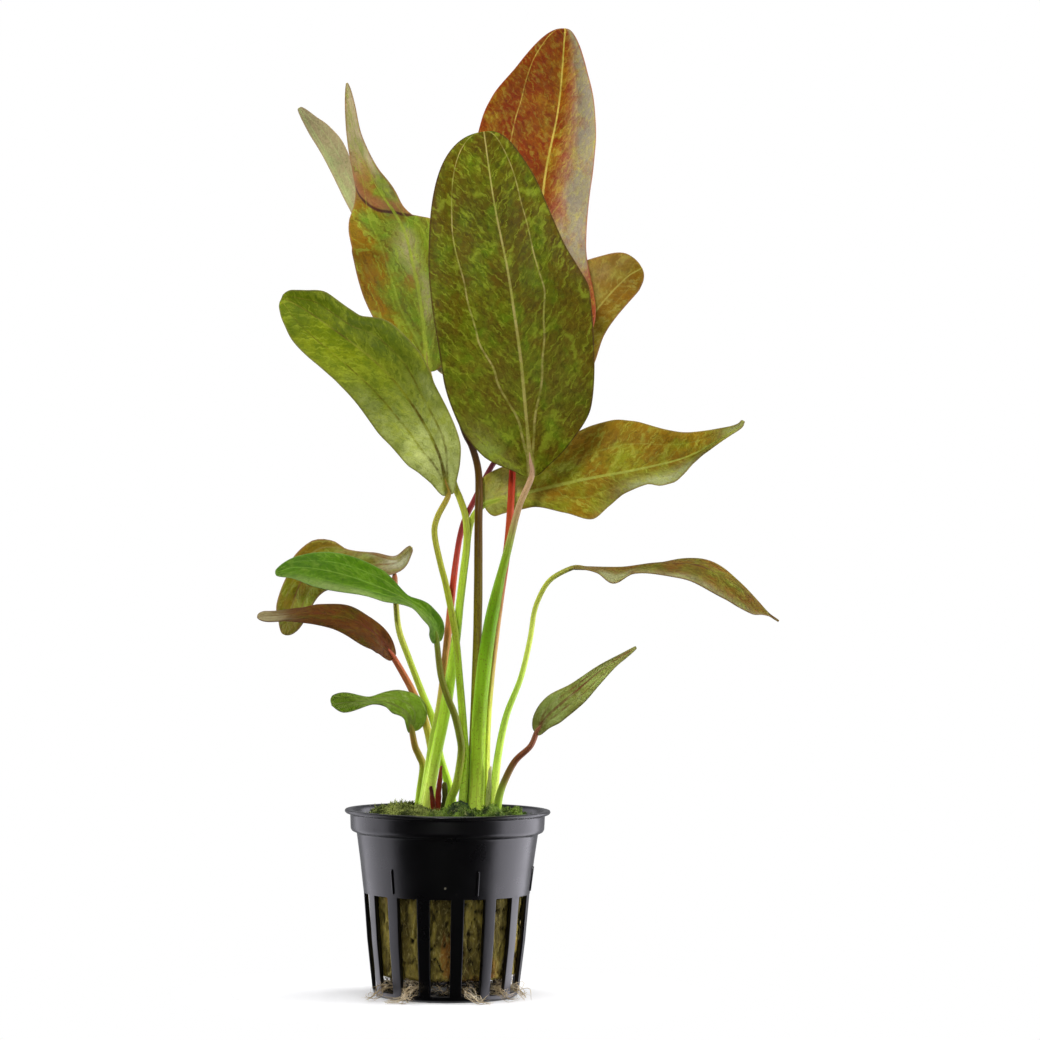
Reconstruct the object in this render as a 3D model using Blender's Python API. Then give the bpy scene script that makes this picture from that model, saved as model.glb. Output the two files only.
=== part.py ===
"""Potted echinodorus: thirteen leaves on long stems, growing out of moss in an open net pot.

All lengths below are in millimetres and become metres when a mesh is made.
The origin is the middle of the pot's underside, +Z is up and -Y is the front.
"""
import math

import bmesh
import bpy
import numpy as np

MM = 0.001
FRONT = -math.pi / 2

# The pot. Its bars are spaced evenly, and angles count from the front towards +X.
BAR_COUNT = 15
BAR_WIDTH_DEG = 9.0
FIRST_BAR_DEG = 8.5
POT_HEIGHT = 49.5
FLOOR_HOLE_RADII = (8.0, 15.5)
SLOT_FOOT, SLOT_KNEE, SLOT_TOP = 1.7, 4.6, 27.3
OUTER_PROFILE = [(FLOOR_HOLE_RADII[0], 0.0), (FLOOR_HOLE_RADII[1], 0.0), (18.3, 0.0), (19.2, 0.5),
                 (19.5, SLOT_FOOT), (19.75, SLOT_KNEE), (21.9, SLOT_TOP), (24.2, 43.6), (25.6, 44.3),
                 (25.85, 45.0), (26.0, 48.2), (27.1, 48.5), (27.5, 49.0), (27.3, POT_HEIGHT)]
INNER_PROFILE = [(FLOOR_HOLE_RADII[0], 1.1), (FLOOR_HOLE_RADII[1], 1.1), (17.7, 1.1), (18.3, 1.35),
                 (18.6, SLOT_FOOT), (18.85, SLOT_KNEE), (21.0, SLOT_TOP), (23.35, 43.6), (24.7, 44.7),
                 (24.95, 45.4), (25.1, 48.4), (25.8, POT_HEIGHT)]
# The bands of the profile that the floor holes and the slots pass through, and the rings they end at.
HOLE_BANDS = [(0, 1), (4, 5), (5, 6)]
HOLE_ENDS = (1, 4, 6)
NIB_ANGLES_DEG = (-38, 22, 82, 142, 202, 262)
NIB_SIZE = (1.0, 1.6, 6.5)
NIB_MIDDLE_HEIGHT = 31.6

# What fills the pot.
WOOL_PROFILE = [(16.4, 5.3), (18.1, 6.2), (19.0, 14.0), (20.0, 26.0), (21.7, 38.0), (22.5, 43.0), (21.6, 43.8)]
CROWN_CENTRE, CROWN_RADII = (3.0, 1.2), (14.3, 12.2)
CROWN_FOOT, CROWN_TOP = 44.2, 48.0
MOSS_GAP = 0.4
MOSS_FOOT, MOSS_TOP, MOSS_RADIUS = 44.2, 48.6, 22.6
# (x, y, height above the bed, reach) of each rise in the moss.
MOSS_RISES = [(-14.0, -10.0, 2.8, 7.0), (-19.0, -1.0, 1.2, 5.0), (-7.0, -14.5, 2.6, 5.0), (3.0, -15.5, 3.4, 6.0),
              (12.0, -12.5, 3.2, 4.0), (18.5, -8.0, 2.8, 4.0), (-12.0, 9.0, 1.8, 6.0), (8.0, 16.0, 1.6, 8.0)]
TUFT_CENTRE, TUFT_SIZE = (3.3, -9.2, 48.3), (2.6, 1.3, 4.4)

STEM_FOOT = 48.4
STEM_SIDES = 7
JOIN_GAP = 1.2
BLADE_THICKNESS = 0.6

# Each stem: the points its centre line runs through and its radius from foot to top.
STEMS = {
    "front": {
        "route": [(7.5, -5.2, STEM_FOOT), (7.8, -5.5, 60), (8.4, -6.6, 78), (10.2, -8.6, 95), (12.6, -11.2, 108),
                  (15.4, -13.7, 119.5), (18.1, -16, 130.3), (21.4, -18, 138.6)],
        "radii": [2.1, 1.9, 1.85, 1.8, 1.5, 1.4, 1.3, 1.0]},
    "back_tall": {
        "route": [(9.9, -0.2, STEM_FOOT), (9.7, -0.5, 62), (10.3, -1, 78), (11.8, -1.5, 94), (13.3, -1.5, 106),
                  (15.2, -0.5, 120), (15.9, 1.6, 130), (16.3, 4.6, 141), (16.4, 9, 153.2)],
        "radii": [1.4, 1.3, 1.2, 1.1, 1.0, 0.9, 0.8]},
    "back_right": {
        "route": [(-7, 3.3, STEM_FOOT), (-6, 3.3, 54), (-4.2, 3.3, 67), (-2.1, 3.5, 79), (-0.2, 4.3, 100),
                  (1.3, 5.2, 115), (3, 6.5, 125), (6, 8.5, 132), (11.2, 11.4, 142.2), (17.5, 17.5, 150),
                  (22, 22, 155.2)],
        "radii": [1.35, 1.2, 1.0, 0.8, 0.7, 0.7]},
    "upper_left": {
        "route": [(-5.9, -3, STEM_FOOT), (-5, -3, 54), (-2.8, -2.9, 66), (-0.6, -2.9, 77), (0.9, -3, 88),
                  (2, -3, 97), (2.7, -3, 105), (3.6, -3, 113), (4.4, -3, 121), (4, -3, 127.5), (2.4, -2, 132.5),
                  (0.6, 0, 137), (-2.8, 4, 150), (-6.5, 7, 166.5)],
        "radii": [1.4, 1.3, 1.1, 0.95, 0.85, 0.8]},
    "mid_left": {
        "route": [(3.7, -5.7, STEM_FOOT), (4.2, -6, 55), (4.6, -7, 63.5), (4.2, -8, 70), (3, -9, 83.5),
                  (1.7, -9.5, 96.5), (-0.8, -10, 109), (-2.4, -10, 115), (-4.1, -10, 123), (-3.4, -10, 127.5),
                  (-0.5, -9.5, 133.5)],
        "radii": [1.1, 1.0, 0.9, 0.8, 0.75]},
    "far_left": {
        "route": [(5.8, -1.5, STEM_FOOT), (6.1, -2, 53), (6.6, -2, 64), (7.2, -2, 84), (7.5, -2, 105),
                  (7.4, -2, 127), (7.5, -1.5, 134), (7.1, 0, 140.5), (5.4, 3, 146.5), (3, 6, 151.5),
                  (-1.5, 12, 166.5)],
        "radii": [1.3, 1.2, 1.15, 1.1, 0.9, 0.8]},
    "right_wavy": {
        "route": [(-6.4, 0.2, STEM_FOOT), (-5.5, 0.2, 54), (-3.3, 0.2, 66), (-1.1, 0.2, 77.5), (1.2, 0.4, 93),
                  (3.1, 0.8, 108), (4.2, 1.2, 119), (5.6, 2, 127), (8.8, 4, 131)],
        "radii": [1.35, 1.25, 1.1, 1.0, 0.9, 0.8]},
    "low_left_green": {
        "route": [(0.1, -6.9, STEM_FOOT), (0.9, -8, 53), (2.4, -9.7, 57), (3.6, -10.8, 65.5), (3.1, -11.8, 70),
                  (1.7, -12.6, 75.5), (-0.1, -13.2, 80), (-2, -13.6, 86), (-3.1, -14, 94.5)],
        "radii": [1.1, 1.0, 1.0, 0.9, 0.8, 0.75]},
    "low_left_red": {
        "route": [(-4.8, 7.1, STEM_FOOT), (-4.4, 7.5, 56), (-4.6, 7.9, 64), (-6.6, 7.6, 73), (-9.8, 6.2, 80.5),
                  (-12.3, 5, 85.2), (-15, 3.6, 89.8)],
        "radii": [1.1, 1.0, 1.0, 0.9, 0.8]},
    "low_left_back": {
        "route": [(1.2, 9.2, STEM_FOOT), (0.4, 9.6, 54), (-2.3, 10.4, 62.5), (-4.2, 10.7, 72), (-7.2, 10.6, 79.5),
                  (-11.3, 10, 90), (-13.8, 9, 97), (-14.7, 8.8, 104.5), (-15.2, 8.9, 113.2)],
        "radii": [1.1, 1.0, 0.9, 0.8, 0.75]},
    "lowest_left": {
        "route": [(-8.1, 6.3, STEM_FOOT), (-7.6, 6.2, 54), (-6.9, 6, 60.5), (-7.9, 5, 63.5), (-9, 4, 66),
                  (-9.8, 3, 70)],
        "radii": [1.0, 0.95, 0.9, 0.8]},
    "low_right_long": {
        "route": [(11.6, -2.7, STEM_FOOT), (12.1, -2.8, 53), (13.3, -3.2, 64.5), (15.4, -3.8, 75),
                  (19.1, -4.5, 85), (21.4, -5, 95), (22.4, -5, 102), (23.6, -5, 106), (25.7, -5, 110),
                  (28.3, -5, 112.4), (33, -5, 114.6)],
        "radii": [1.25, 1.1, 0.9, 0.8, 0.75]},
    "low_right_small": {
        "route": [(13.2, -6, STEM_FOOT), (13.6, -6, 53), (15, -6.3, 57.5), (17.8, -7, 63), (21.8, -8, 67),
                  (23.4, -8.5, 70.6)],
        "radii": [1.0, 0.9, 0.8, 0.7]},
}

# Each blade: its midrib's route, its half widths (place, one side, other side), the way its upper face
# looks (place, x, y, z), how many degrees each side folds up from flat (place, one side, other side),
# and how many rows and columns its solid has. A place is a share of the midrib, 0 at the stem.
BLADES = {
    "front": {
        "midrib": [(21.4, -18, 138.6), (20, -21.5, 151.9), (18.3, -25, 168.3), (16.3, -27, 181.7), (14.5, -27.5, 192.5),
                   (10.8, -26, 210.3), (8, -22, 228.5)],
        "widths": [(0, 1, 1), (0.02, 4.5, 4), (0.084, 13, 9.5), (0.19, 18.7, 16.6), (0.32, 21, 18.7),
                   (0.51, 21, 21), (0.63, 20, 18.5), (0.83, 14.3, 12.7), (0.916, 10.3, 8.7), (0.98, 3.9, 4.2),
                   (1, 0.4, 0.4)],
        "faces": [(0, 0.1, -1, 0), (1, -0.05, -1, 0.1)],
        "folds": [(0, 14, 14), (0.5, 7, 7), (1, 10, 10)], "rows": 12, "columns": 6},
    "back_tall": {
        "midrib": [(16.4, 9, 153.2), (18.2, 14, 170.3), (20.8, 18.5, 187), (22.6, 22, 203.6), (24.5, 24, 221.8),
                   (27.9, 24.5, 240.4), (29.4, 22, 261)],
        "widths": [(0, 1, 1), (0.05, 6, 6), (0.15, 14, 13), (0.32, 18, 20.3), (0.42, 20, 20), (0.54, 20.5, 17.8),
                   (0.74, 20, 17), (0.81, 18.4, 15), (0.9, 12.4, 9), (0.965, 7, 4.5), (1, 0.4, 0.4)],
        "faces": [(0, 0, -1, 0), (1, 0, -1, 0.1)],
        "folds": [(0, 5, -10), (0.3, 0, -25), (0.5, 0, -46), (0.8, 0, -44), (1, 0, -30)],
        "rows": 12, "columns": 6},
    "back_right": {
        "midrib": [(22, 22, 155.2), (30.4, 31, 169.3), (37.8, 37, 183.4), (46.5, 39, 193.6), (51.5, 38, 196.9)],
        "widths": [(0, 1, 1), (0.15, 8, 6), (0.4, 13, 6.3), (0.6, 13.5, 6), (0.8, 10, 6.3), (0.92, 6.5, 5.6),
                   (1, 0.4, 0.4)],
        "faces": [(0, 0, -1, 0), (1, 0, -1, 0.3)],
        "folds": [(0, 5, 5), (1, 5, -10)], "rows": 8, "columns": 4},
    "upper_left": {
        "midrib": [(-6.5, 7, 166.5), (-9, 7.5, 186), (-11.2, 8, 196), (-13.5, 8.5, 204.6), (-18.6, 11, 213.2),
                   (-23.7, 15, 223.3), (-27.2, 17, 232.4), (-29.2, 17, 245.1)],
        "widths": [(0, 1, 1), (0.08, 8, 8), (0.18, 13.4, 12), (0.29, 16, 13), (0.37, 15.8, 8.2), (0.44, 15, 5),
                   (0.5, 13.5, 3.4), (0.58, 9.3, 4), (0.68, 5.4, 4.2), (0.8, 3.4, 4), (0.92, 1.8, 3.4),
                   (1, 0.4, 0.4)],
        "faces": [(0, 0, -1, 0), (0.48, 0, -1, 0.1), (0.62, -0.75, -0.6, 0.25), (1, -0.8, -0.5, 0.3)],
        "folds": [(0, 8, 8), (0.5, 5, -20), (0.7, 20, 20), (1, 20, 20)], "rows": 14, "columns": 4},
    "mid_left": {
        "midrib": [(-0.5, -9.5, 133.5), (-3.5, -14, 145.2), (-10.6, -18, 157.6), (-19.7, -21, 167.9),
                   (-34.3, -21.5, 178.7), (-42.2, -20, 183.5), (-44.7, -19, 184.4)],
        "widths": [(0, 1, 1), (0.05, 4, 3), (0.18, 10, 6.4), (0.28, 10.5, 8.5), (0.38, 11.2, 8.1),
                   (0.56, 10.7, 10.4), (0.8, 10.4, 7.8), (0.93, 6.5, 4.4), (1, 0.4, 0.4)],
        "faces": [(0, 0, -1, 0), (0.5, 0, -1, 0.2), (1, -0.1, -0.9, 0.4)],
        "folds": [(0, 15, 10), (0.5, 8, 15), (1, 10, 25)], "rows": 10, "columns": 6},
    "far_left": {
        "midrib": [(-1.5, 12, 166.5), (-14.8, 20, 186.7), (-26.1, 26, 208.5), (-35.2, 29, 226.5),
                   (-43.3, 29, 239.3)],
        "widths": [(0, 1, 1), (0.15, 5, 8), (0.4, 3, 8.5), (0.6, 2.4, 7), (0.8, 2.2, 5), (0.9, 1.9, 3),
                   (1, 0.4, 0.4)],
        "faces": [(0, 0, -1, 0), (1, -0.3, -1, 0)],
        "folds": [(0, 5, 5), (1, 5, 5)], "rows": 8, "columns": 4},
    "right_wavy": {
        "midrib": [(8.8, 4, 131), (14.5, 6.5, 133), (21, 9.5, 134.5), (35.4, 13, 138), (50.9, 14, 141.1),
                   (64.1, 12, 144.8), (76.2, 9, 151.9), (78.4, 8.5, 154.3)],
        "widths": [(0, 1, 1), (0.03, 7, 4), (0.17, 9, 4), (0.28, 11, 7), (0.38, 13, 11), (0.5, 14.5, 8.2),
                   (0.6, 12.9, 4.8), (0.68, 10, 5.4), (0.75, 8, 3.8), (0.82, 6, 1.6), (0.9, 3.6, 1),
                   (0.96, 1.5, 0.9), (1, 0.4, 0.4)],
        "faces": [(0, 0, -1, 0), (0.4, 0, -0.9, 0.3), (1, 0, -1, 0.2)],
        "folds": [(0, 5, 5), (0.5, 0, -10), (1, 10, 10)], "rows": 13, "columns": 4},
    "low_left_green": {
        "midrib": [(-3.1, -14, 94.5), (-4.2, -15.5, 99.4), (-8.9, -18, 103.9), (-16.6, -20.5, 108.1),
                   (-28.4, -23, 112.2), (-38.9, -25, 113.8), (-45.2, -25, 112.4)],
        "widths": [(0, 1, 1), (0.1, 3.2, 3), (0.25, 5, 3), (0.45, 7, 6), (0.65, 9.3, 6.8), (0.8, 8.5, 6.4),
                   (0.93, 5, 4), (1, 0.4, 0.4)],
        "faces": [(0, 0.5, -0.8, 0.3), (0.15, 0.3, -0.6, 0.7), (0.28, 0, -0.15, 1), (0.45, 0, -0.5, 0.85),
                  (0.75, -0.1, -0.6, 0.8), (1, -0.3, -0.5, 0.8)],
        "folds": [(0, 8, 8), (1, 8, 8)], "rows": 10, "columns": 4},
    "low_left_red": {
        "midrib": [(-15, 3.6, 89.8), (-19.1, 1, 95.1), (-26.4, -4, 99.9), (-37, -8, 101.5), (-45, -9, 100.8),
                   (-50.8, -9.5, 100.6)],
        "widths": [(0, 1, 1), (0.1, 4.5, 3), (0.25, 9, 5.5), (0.4, 10.5, 7.2), (0.6, 8, 6.3), (0.8, 6.5, 5.2),
                   (0.93, 4.5, 4), (1, 0.4, 0.4)],
        "faces": [(0, 0.3, -0.65, 0.5), (0.3, 0.1, -0.65, 0.76), (0.6, 0, -0.5, 0.85), (1, 0, -0.4, 0.9)],
        "folds": [(0, 8, 8), (1, 8, 8)], "rows": 8, "columns": 4},
    "low_left_back": {
        "midrib": [(-10.6, 8, 119.3), (-15, 9.6, 116), (-21.3, 11.5, 117.4), (-28.6, 13, 117.8),
                   (-35.4, 13.5, 115.3), (-40.9, 13, 108.3), (-44.6, 12, 95.3)],
        "widths": [(0, 0.6, 0.6), (0.04, 3, 1.8), (0.1, 6, 2), (0.2, 10, 2), (0.35, 12, 3.2), (0.45, 12, 6),
                   (0.55, 11, 7), (0.7, 8.5, 7), (0.85, 6.5, 6.5), (0.94, 4.2, 4), (1, 0.4, 0.4)],
        "faces": [(0, 0.1, -0.85, 0.5), (0.4, -0.2, -0.85, 0.5), (1, -0.6, -0.75, 0.2)],
        "folds": [(0, 5, 5), (1, 5, 5)], "rows": 11, "columns": 4},
    "lowest_left": {
        "midrib": [(-9.8, 3, 70), (-11, 2, 74.8), (-15.5, 0.5, 78), (-21, -2.5, 78.8), (-26.4, -6, 78.7),
                   (-30.8, -9, 77.9)],
        "widths": [(0, 1, 1), (0.1, 1.6, 4.5), (0.2, 2, 6), (0.3, 2.6, 5.4), (0.4, 3, 4.5), (0.6, 4.2, 4),
                   (0.8, 3.8, 3.8), (0.93, 3.6, 3.2), (1, 0.5, 0.5)],
        "faces": [(0, 0.2, -0.95, 0.2), (0.3, 0.1, -0.8, 0.6), (0.55, 0, -0.2, 1), (0.9, -0.1, -0.8, 0.6)],
        "folds": [(0, 8, 8), (1, 8, 8)], "rows": 10, "columns": 4},
    "low_right_long": {
        "midrib": [(33, -5, 114.6), (45, -7.5, 113.9), (54.2, -10, 114.8), (66, -12.5, 114.6),
                   (75.2, -13.5, 109.9), (83.2, -14, 103.6), (87, -14, 101.1)],
        "widths": [(0, 1, 1), (0.08, 4, 4), (0.25, 7, 7), (0.45, 8, 8), (0.65, 8, 8), (0.8, 6, 6),
                   (0.92, 3, 3), (1, 0.4, 0.4)],
        "faces": [(0, 0, -0.05, 1), (0.25, 0, -0.05, 1), (0.5, 0, -0.35, 0.93), (1, 0.2, -0.4, 0.9)],
        "folds": [(0, -8, -8), (1, -8, -8)], "rows": 10, "columns": 4},
    "low_right_small": {
        "midrib": [(23.4, -8.5, 70.6), (26.9, -11, 75.6), (33.4, -14, 81.5), (41.1, -16.5, 88.2), (49.4, -17.5, 93.9)],
        "widths": [(0, 0.8, 0.8), (0.1, 3.4, 3), (0.25, 4.4, 5), (0.45, 3.2, 4.8), (0.65, 2.2, 4),
                   (0.85, 1.1, 1.8), (1, 0.4, 0.4)],
        "faces": [(0, -0.2, -0.85, 0.45), (1, -0.2, -0.85, 0.45)],
        "folds": [(0, 10, 10), (1, 10, 10)], "rows": 8, "columns": 4},
}

# What is left of old leaves at the foot of the stems: route, radii and colour.
STUBS = {
    "old_stub_red": ([(-2.6, -5.6, STEM_FOOT), (-2.4, -5.8, 54), (-1.9, -6.2, 59.5), (-1.7, -6.3, 61.5)],
                     [0.9, 0.85, 0.7, 0.4], (0.16, 0.03, 0.01)),
    "old_stub_brown": ([(-3.5, -8.2, STEM_FOOT), (-3.8, -8.3, 52), (-4.4, -8.4, 56.3)],
                       [0.8, 0.7, 0.45], (0.12, 0.03, 0.01)),
    "old_stub_olive": ([(-1.1, -3.2, STEM_FOOT), (-0.6, -3.2, 52), (-0.9, -3.3, 57)],
                       [1.0, 0.9, 0.5], (0.06, 0.07, 0.01)),
    "pale_sheath": ([(10.4, -6.6, STEM_FOOT), (10.9, -6.3, 54), (11.3, -6, 61.5)],
                    [0.8, 0.7, 0.35], (0.45, 0.5, 0.15)),
}

# Roots that lie in the foot of the pot and come out between its bars.
ROOTS = {
    "root_left_a": [(-6, -11.5, 3.4), (-8.6, -16.6, 2.9), (-10.2, -20.2, 2.4), (-12, -22.4, 0.8), (-15.5, -23.6, 0.6)],
    "root_left_b": [(-10.5, -9, 3.4), (-14.9, -12, 3.1), (-17.2, -14, 2.6), (-19.2, -15.6, 1.1), (-20.4, -18.2, 0.6)],
    "root_left_c": [(-4, -14, 3.9), (-7.6, -16.6, 3.8), (-9.3, -19.2, 4.2), (-10.6, -22.6, 2.2), (-9.4, -25.2, 0.7)],
    "root_front": [(1.8, -12, 2.4), (5.2, -16.8, 2.8), (7.2, -20.2, 2.4), (9, -22.2, 0.8), (12.2, -22.6, 0.6)],
    "root_right_a": [(8.5, -9.2, 3.2), (13, -13.2, 3.1), (14.6, -15.2, 2.7), (16.2, -16.2, 1.2), (18.4, -15.6, 0.7)],
    "root_right_b": [(11, -5, 3.2), (17.2, -6.6, 3.0), (19.4, -7.6, 2.6), (21, -8.6, 1.1), (21.4, -10.6, 0.7)],
}
ROOT_RADIUS = 0.42

COLOURS = {
    "pot": (0.012, 0.012, 0.014), "rock_wool": (0.16, 0.12, 0.03), "crown": (0.1, 0.08, 0.03),
    "moss": (0.05, 0.09, 0.02), "tuft": (0.02, 0.05, 0.01), "root": (0.42, 0.3, 0.14),
    "front": (0.06, 0.11, 0.01), "back_tall": (0.3, 0.07, 0.02), "back_right": (0.22, 0.15, 0.02),
    "upper_left": (0.26, 0.2, 0.04), "mid_left": (0.12, 0.2, 0.02), "far_left": (0.3, 0.3, 0.11),
    "right_wavy": (0.18, 0.2, 0.03), "low_left_green": (0.08, 0.26, 0.02), "low_left_red": (0.2, 0.06, 0.01),
    "low_left_back": (0.26, 0.17, 0.03), "lowest_left": (0.09, 0.24, 0.02),
    "low_right_long": (0.2, 0.12, 0.01), "low_right_small": (0.18, 0.25, 0.05),
    "stem": (0.3, 0.5, 0.03), "stem_dark": (0.06, 0.03, 0.006), "stem_red": (0.32, 0.06, 0.01),
}
STEM_COLOURS = {"far_left": "stem_dark", "back_tall": "stem_red", "back_right": "stem_red"}


def clear_objects():
    for obj in list(bpy.data.objects):
        bpy.data.objects.remove(obj, do_unlink=True)


def make_material(name, colour, roughness):
    material = bpy.data.materials.new(name)
    material.use_nodes = True
    shader = material.node_tree.nodes["Principled BSDF"]
    shader.inputs["Base Color"].default_value = (*colour, 1.0)
    shader.inputs["Roughness"].default_value = roughness
    return material


def make_object(name, points, faces, colour, roughness=0.5):
    """A node from points in millimetres; its faces are turned outwards."""
    mesh = bpy.data.meshes.new(name)
    mesh.from_pydata([tuple(c * MM for c in p) for p in points], [], faces)
    shape = bmesh.new()
    shape.from_mesh(mesh)
    bmesh.ops.recalc_face_normals(shape, faces=shape.faces)
    shape.to_mesh(mesh)
    shape.free()
    for face in mesh.polygons:
        face.use_smooth = True
    obj = bpy.data.objects.new(name, mesh)
    mesh.materials.append(make_material(name + "_material", colour, roughness))
    bpy.context.scene.collection.objects.link(obj)
    return obj


def smooth_route(points, places):
    """Points at the given shares of the length of a smooth curve through the points."""
    p = np.array(points, float)
    p = np.vstack([2 * p[0] - p[1], p, 2 * p[-1] - p[-2]])
    dense = [p[1]]
    for a, b, c, d in zip(p, p[1:], p[2:], p[3:]):
        for t in np.linspace(0, 1, 25)[1:]:
            bend = (2 * a - 5 * b + 4 * c - d) * t * t + (3 * b - a - 3 * c + d) * t ** 3
            dense.append(0.5 * (2 * b + (c - a) * t + bend))
    dense = np.array(dense)
    run = np.concatenate([[0], np.cumsum(np.linalg.norm(np.diff(dense, axis=0), axis=1))])
    wanted = np.asarray(places) * run[-1]
    return np.stack([np.interp(wanted, run, dense[:, k]) for k in range(3)], 1), run[-1]


def directions(points):
    ahead = np.gradient(points, axis=0)
    return ahead / np.linalg.norm(ahead, axis=1)[:, None]


def eased_stops(stops, place):
    """The values between two stops, eased from one to the next."""
    for low, high in zip(stops, stops[1:]):
        if place <= high[0]:
            t = max(0.0, (place - low[0]) / (high[0] - low[0]))
            t = t * t * (3 - 2 * t)
            return [a + (b - a) * t for a, b in zip(low[1:], high[1:])]
    return list(stops[-1][1:])


def half_widths(stops, places):
    """Both half widths at each place, on a smooth curve that stays between the stops."""
    stops = np.array(stops, float)
    x = np.arccos(1 - 2 * stops[:, 0])
    wanted = np.arccos(1 - 2 * np.asarray(places))
    gap = np.diff(x)
    k = np.clip(np.searchsorted(x, wanted) - 1, 0, len(x) - 2)
    t = (wanted - x[k]) / gap[k]
    both = []
    for y in (stops[:, 1], stops[:, 2]):
        rise = np.diff(y) / gap
        slope = np.concatenate([[rise[0]], np.zeros(len(x) - 2), [rise[-1]]])
        for n in range(1, len(x) - 1):
            if rise[n - 1] * rise[n] > 0:
                slope[n] = 2 * rise[n - 1] * rise[n] / (rise[n - 1] + rise[n])
        both.append((1 + 2 * t) * (1 - t) ** 2 * y[k] + t * (1 - t) ** 2 * gap[k] * slope[k]
                    + t * t * (3 - 2 * t) * y[k + 1] + t * t * (t - 1) * gap[k] * slope[k + 1])
    return both


def blade_surface(blade, rows, columns):
    """The middle surface of a blade as rows x columns points, and the way its upper face looks there."""
    places = (1 - np.cos(np.linspace(0, np.pi, rows + 1))) / 2
    centres, length = smooth_route(blade["midrib"], places)
    step = 1.5 / length
    behind, _ = smooth_route(blade["midrib"], np.maximum(places - step, 0))
    ahead, _ = smooth_route(blade["midrib"], np.minimum(places + step, 1))
    one, other = half_widths(blade["widths"], places)
    grid, faces = [], []
    for n, place in enumerate(places):
        along = (ahead[n] - behind[n]) / np.linalg.norm(ahead[n] - behind[n])
        up = np.array(eased_stops(blade["faces"], place))
        up = up - up.dot(along) * along
        up /= np.linalg.norm(up)
        across = np.cross(along, up)
        folds = eased_stops(blade["folds"], place)
        row, looks = [], []
        for t in np.linspace(-1, 1, columns + 1):
            width, fold = (one[n], folds[0]) if t < 0 else (other[n], folds[1])
            angle = math.radians(fold if t else 0)
            outward = across * (math.cos(angle) * t) + up * (math.sin(angle) * abs(t))
            row.append(centres[n] + outward * width)
            looks.append(up * math.cos(angle) - across * (math.copysign(1, t) * math.sin(angle)))
        grid.append(row)
        faces.append(looks)
    return np.array(grid), np.array(faces)


def slab(front, back):
    """A closed skin around two grids of points that lie back to back."""
    rows, columns = front.shape[0], front.shape[1]
    points = [*front.reshape(-1, 3), *back.reshape(-1, 3)]
    half = rows * columns
    faces = []
    for r in range(rows - 1):
        for c in range(columns - 1):
            k = r * columns + c
            faces.append((k, k + columns, k + columns + 1, k + 1))
            faces.append((half + k, half + k + 1, half + k + columns + 1, half + k + columns))
    rim = [c for c in range(columns)]
    rim += [r * columns + columns - 1 for r in range(1, rows)]
    rim += [(rows - 1) * columns + c for c in range(columns - 2, -1, -1)]
    rim += [r * columns for r in range(rows - 2, 0, -1)]
    for a, b in zip(rim, rim[1:] + rim[:1]):
        faces.append((a, b, half + b, half + a))
    return points, faces


def make_blade(name, blade):
    middle, looks = blade_surface(blade, blade["rows"], blade["columns"])
    lift = looks * (BLADE_THICKNESS / 2)
    points, faces = slab(middle + lift, middle - lift)
    make_object(name + "_blade", points, faces, COLOURS[name], 0.45)


def tube(route, radii, sides, end_gap=0.0, count=None):
    """A closed round tube along a smooth route."""
    count = count or max(4, round(len(route) * 1.1))
    _, length = smooth_route(route, [0])
    places = np.linspace(0, 1 - end_gap / length, count)
    centres, _ = smooth_route(route, places)
    along = directions(centres)
    along[0] = (0, 0, 1) if abs(route[0][2] - STEM_FOOT) < 0.01 else along[0]
    widths = np.interp(places, np.linspace(0, 1, len(radii)), radii)
    side = np.array([1.0, 0.0, 0.0])
    points, faces = [], []
    for centre, way, width in zip(centres, along, widths):
        side = side - side.dot(way) * way
        side /= np.linalg.norm(side)
        other = np.cross(way, side)
        for n in range(sides):
            angle = 2 * math.pi * n / sides
            points.append(centre + (side * math.cos(angle) + other * math.sin(angle)) * width)
    for r in range(count - 1):
        for n in range(sides):
            m = (n + 1) % sides
            faces.append((r * sides + n, r * sides + m, (r + 1) * sides + m, (r + 1) * sides + n))
    faces.append(tuple(range(sides)))
    faces.append(tuple(range((count - 1) * sides, count * sides)))
    return points, faces


def make_stem(name, stem):
    gap = JOIN_GAP if name != "low_left_back" else 0.0
    points, faces = tube(stem["route"], stem["radii"], STEM_SIDES, gap)
    make_object(name + "_stem", points, faces, COLOURS[STEM_COLOURS.get(name, "stem")], 0.4)


def polar(radius, degrees_from_front, height):
    angle = math.radians(degrees_from_front) + FRONT
    return (radius * math.cos(angle), radius * math.sin(angle), height)


def pot_columns():
    """The angle of each column line, and whether the strip after it is part of a slot."""
    pitch = 360 / BAR_COUNT
    lines = []
    for n in range(BAR_COUNT):
        start = FIRST_BAR_DEG + n * pitch - BAR_WIDTH_DEG / 2
        slot = pitch - BAR_WIDTH_DEG
        lines += [(start, False), (start + BAR_WIDTH_DEG, True), (start + BAR_WIDTH_DEG + slot / 2, True)]
    return lines


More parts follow.
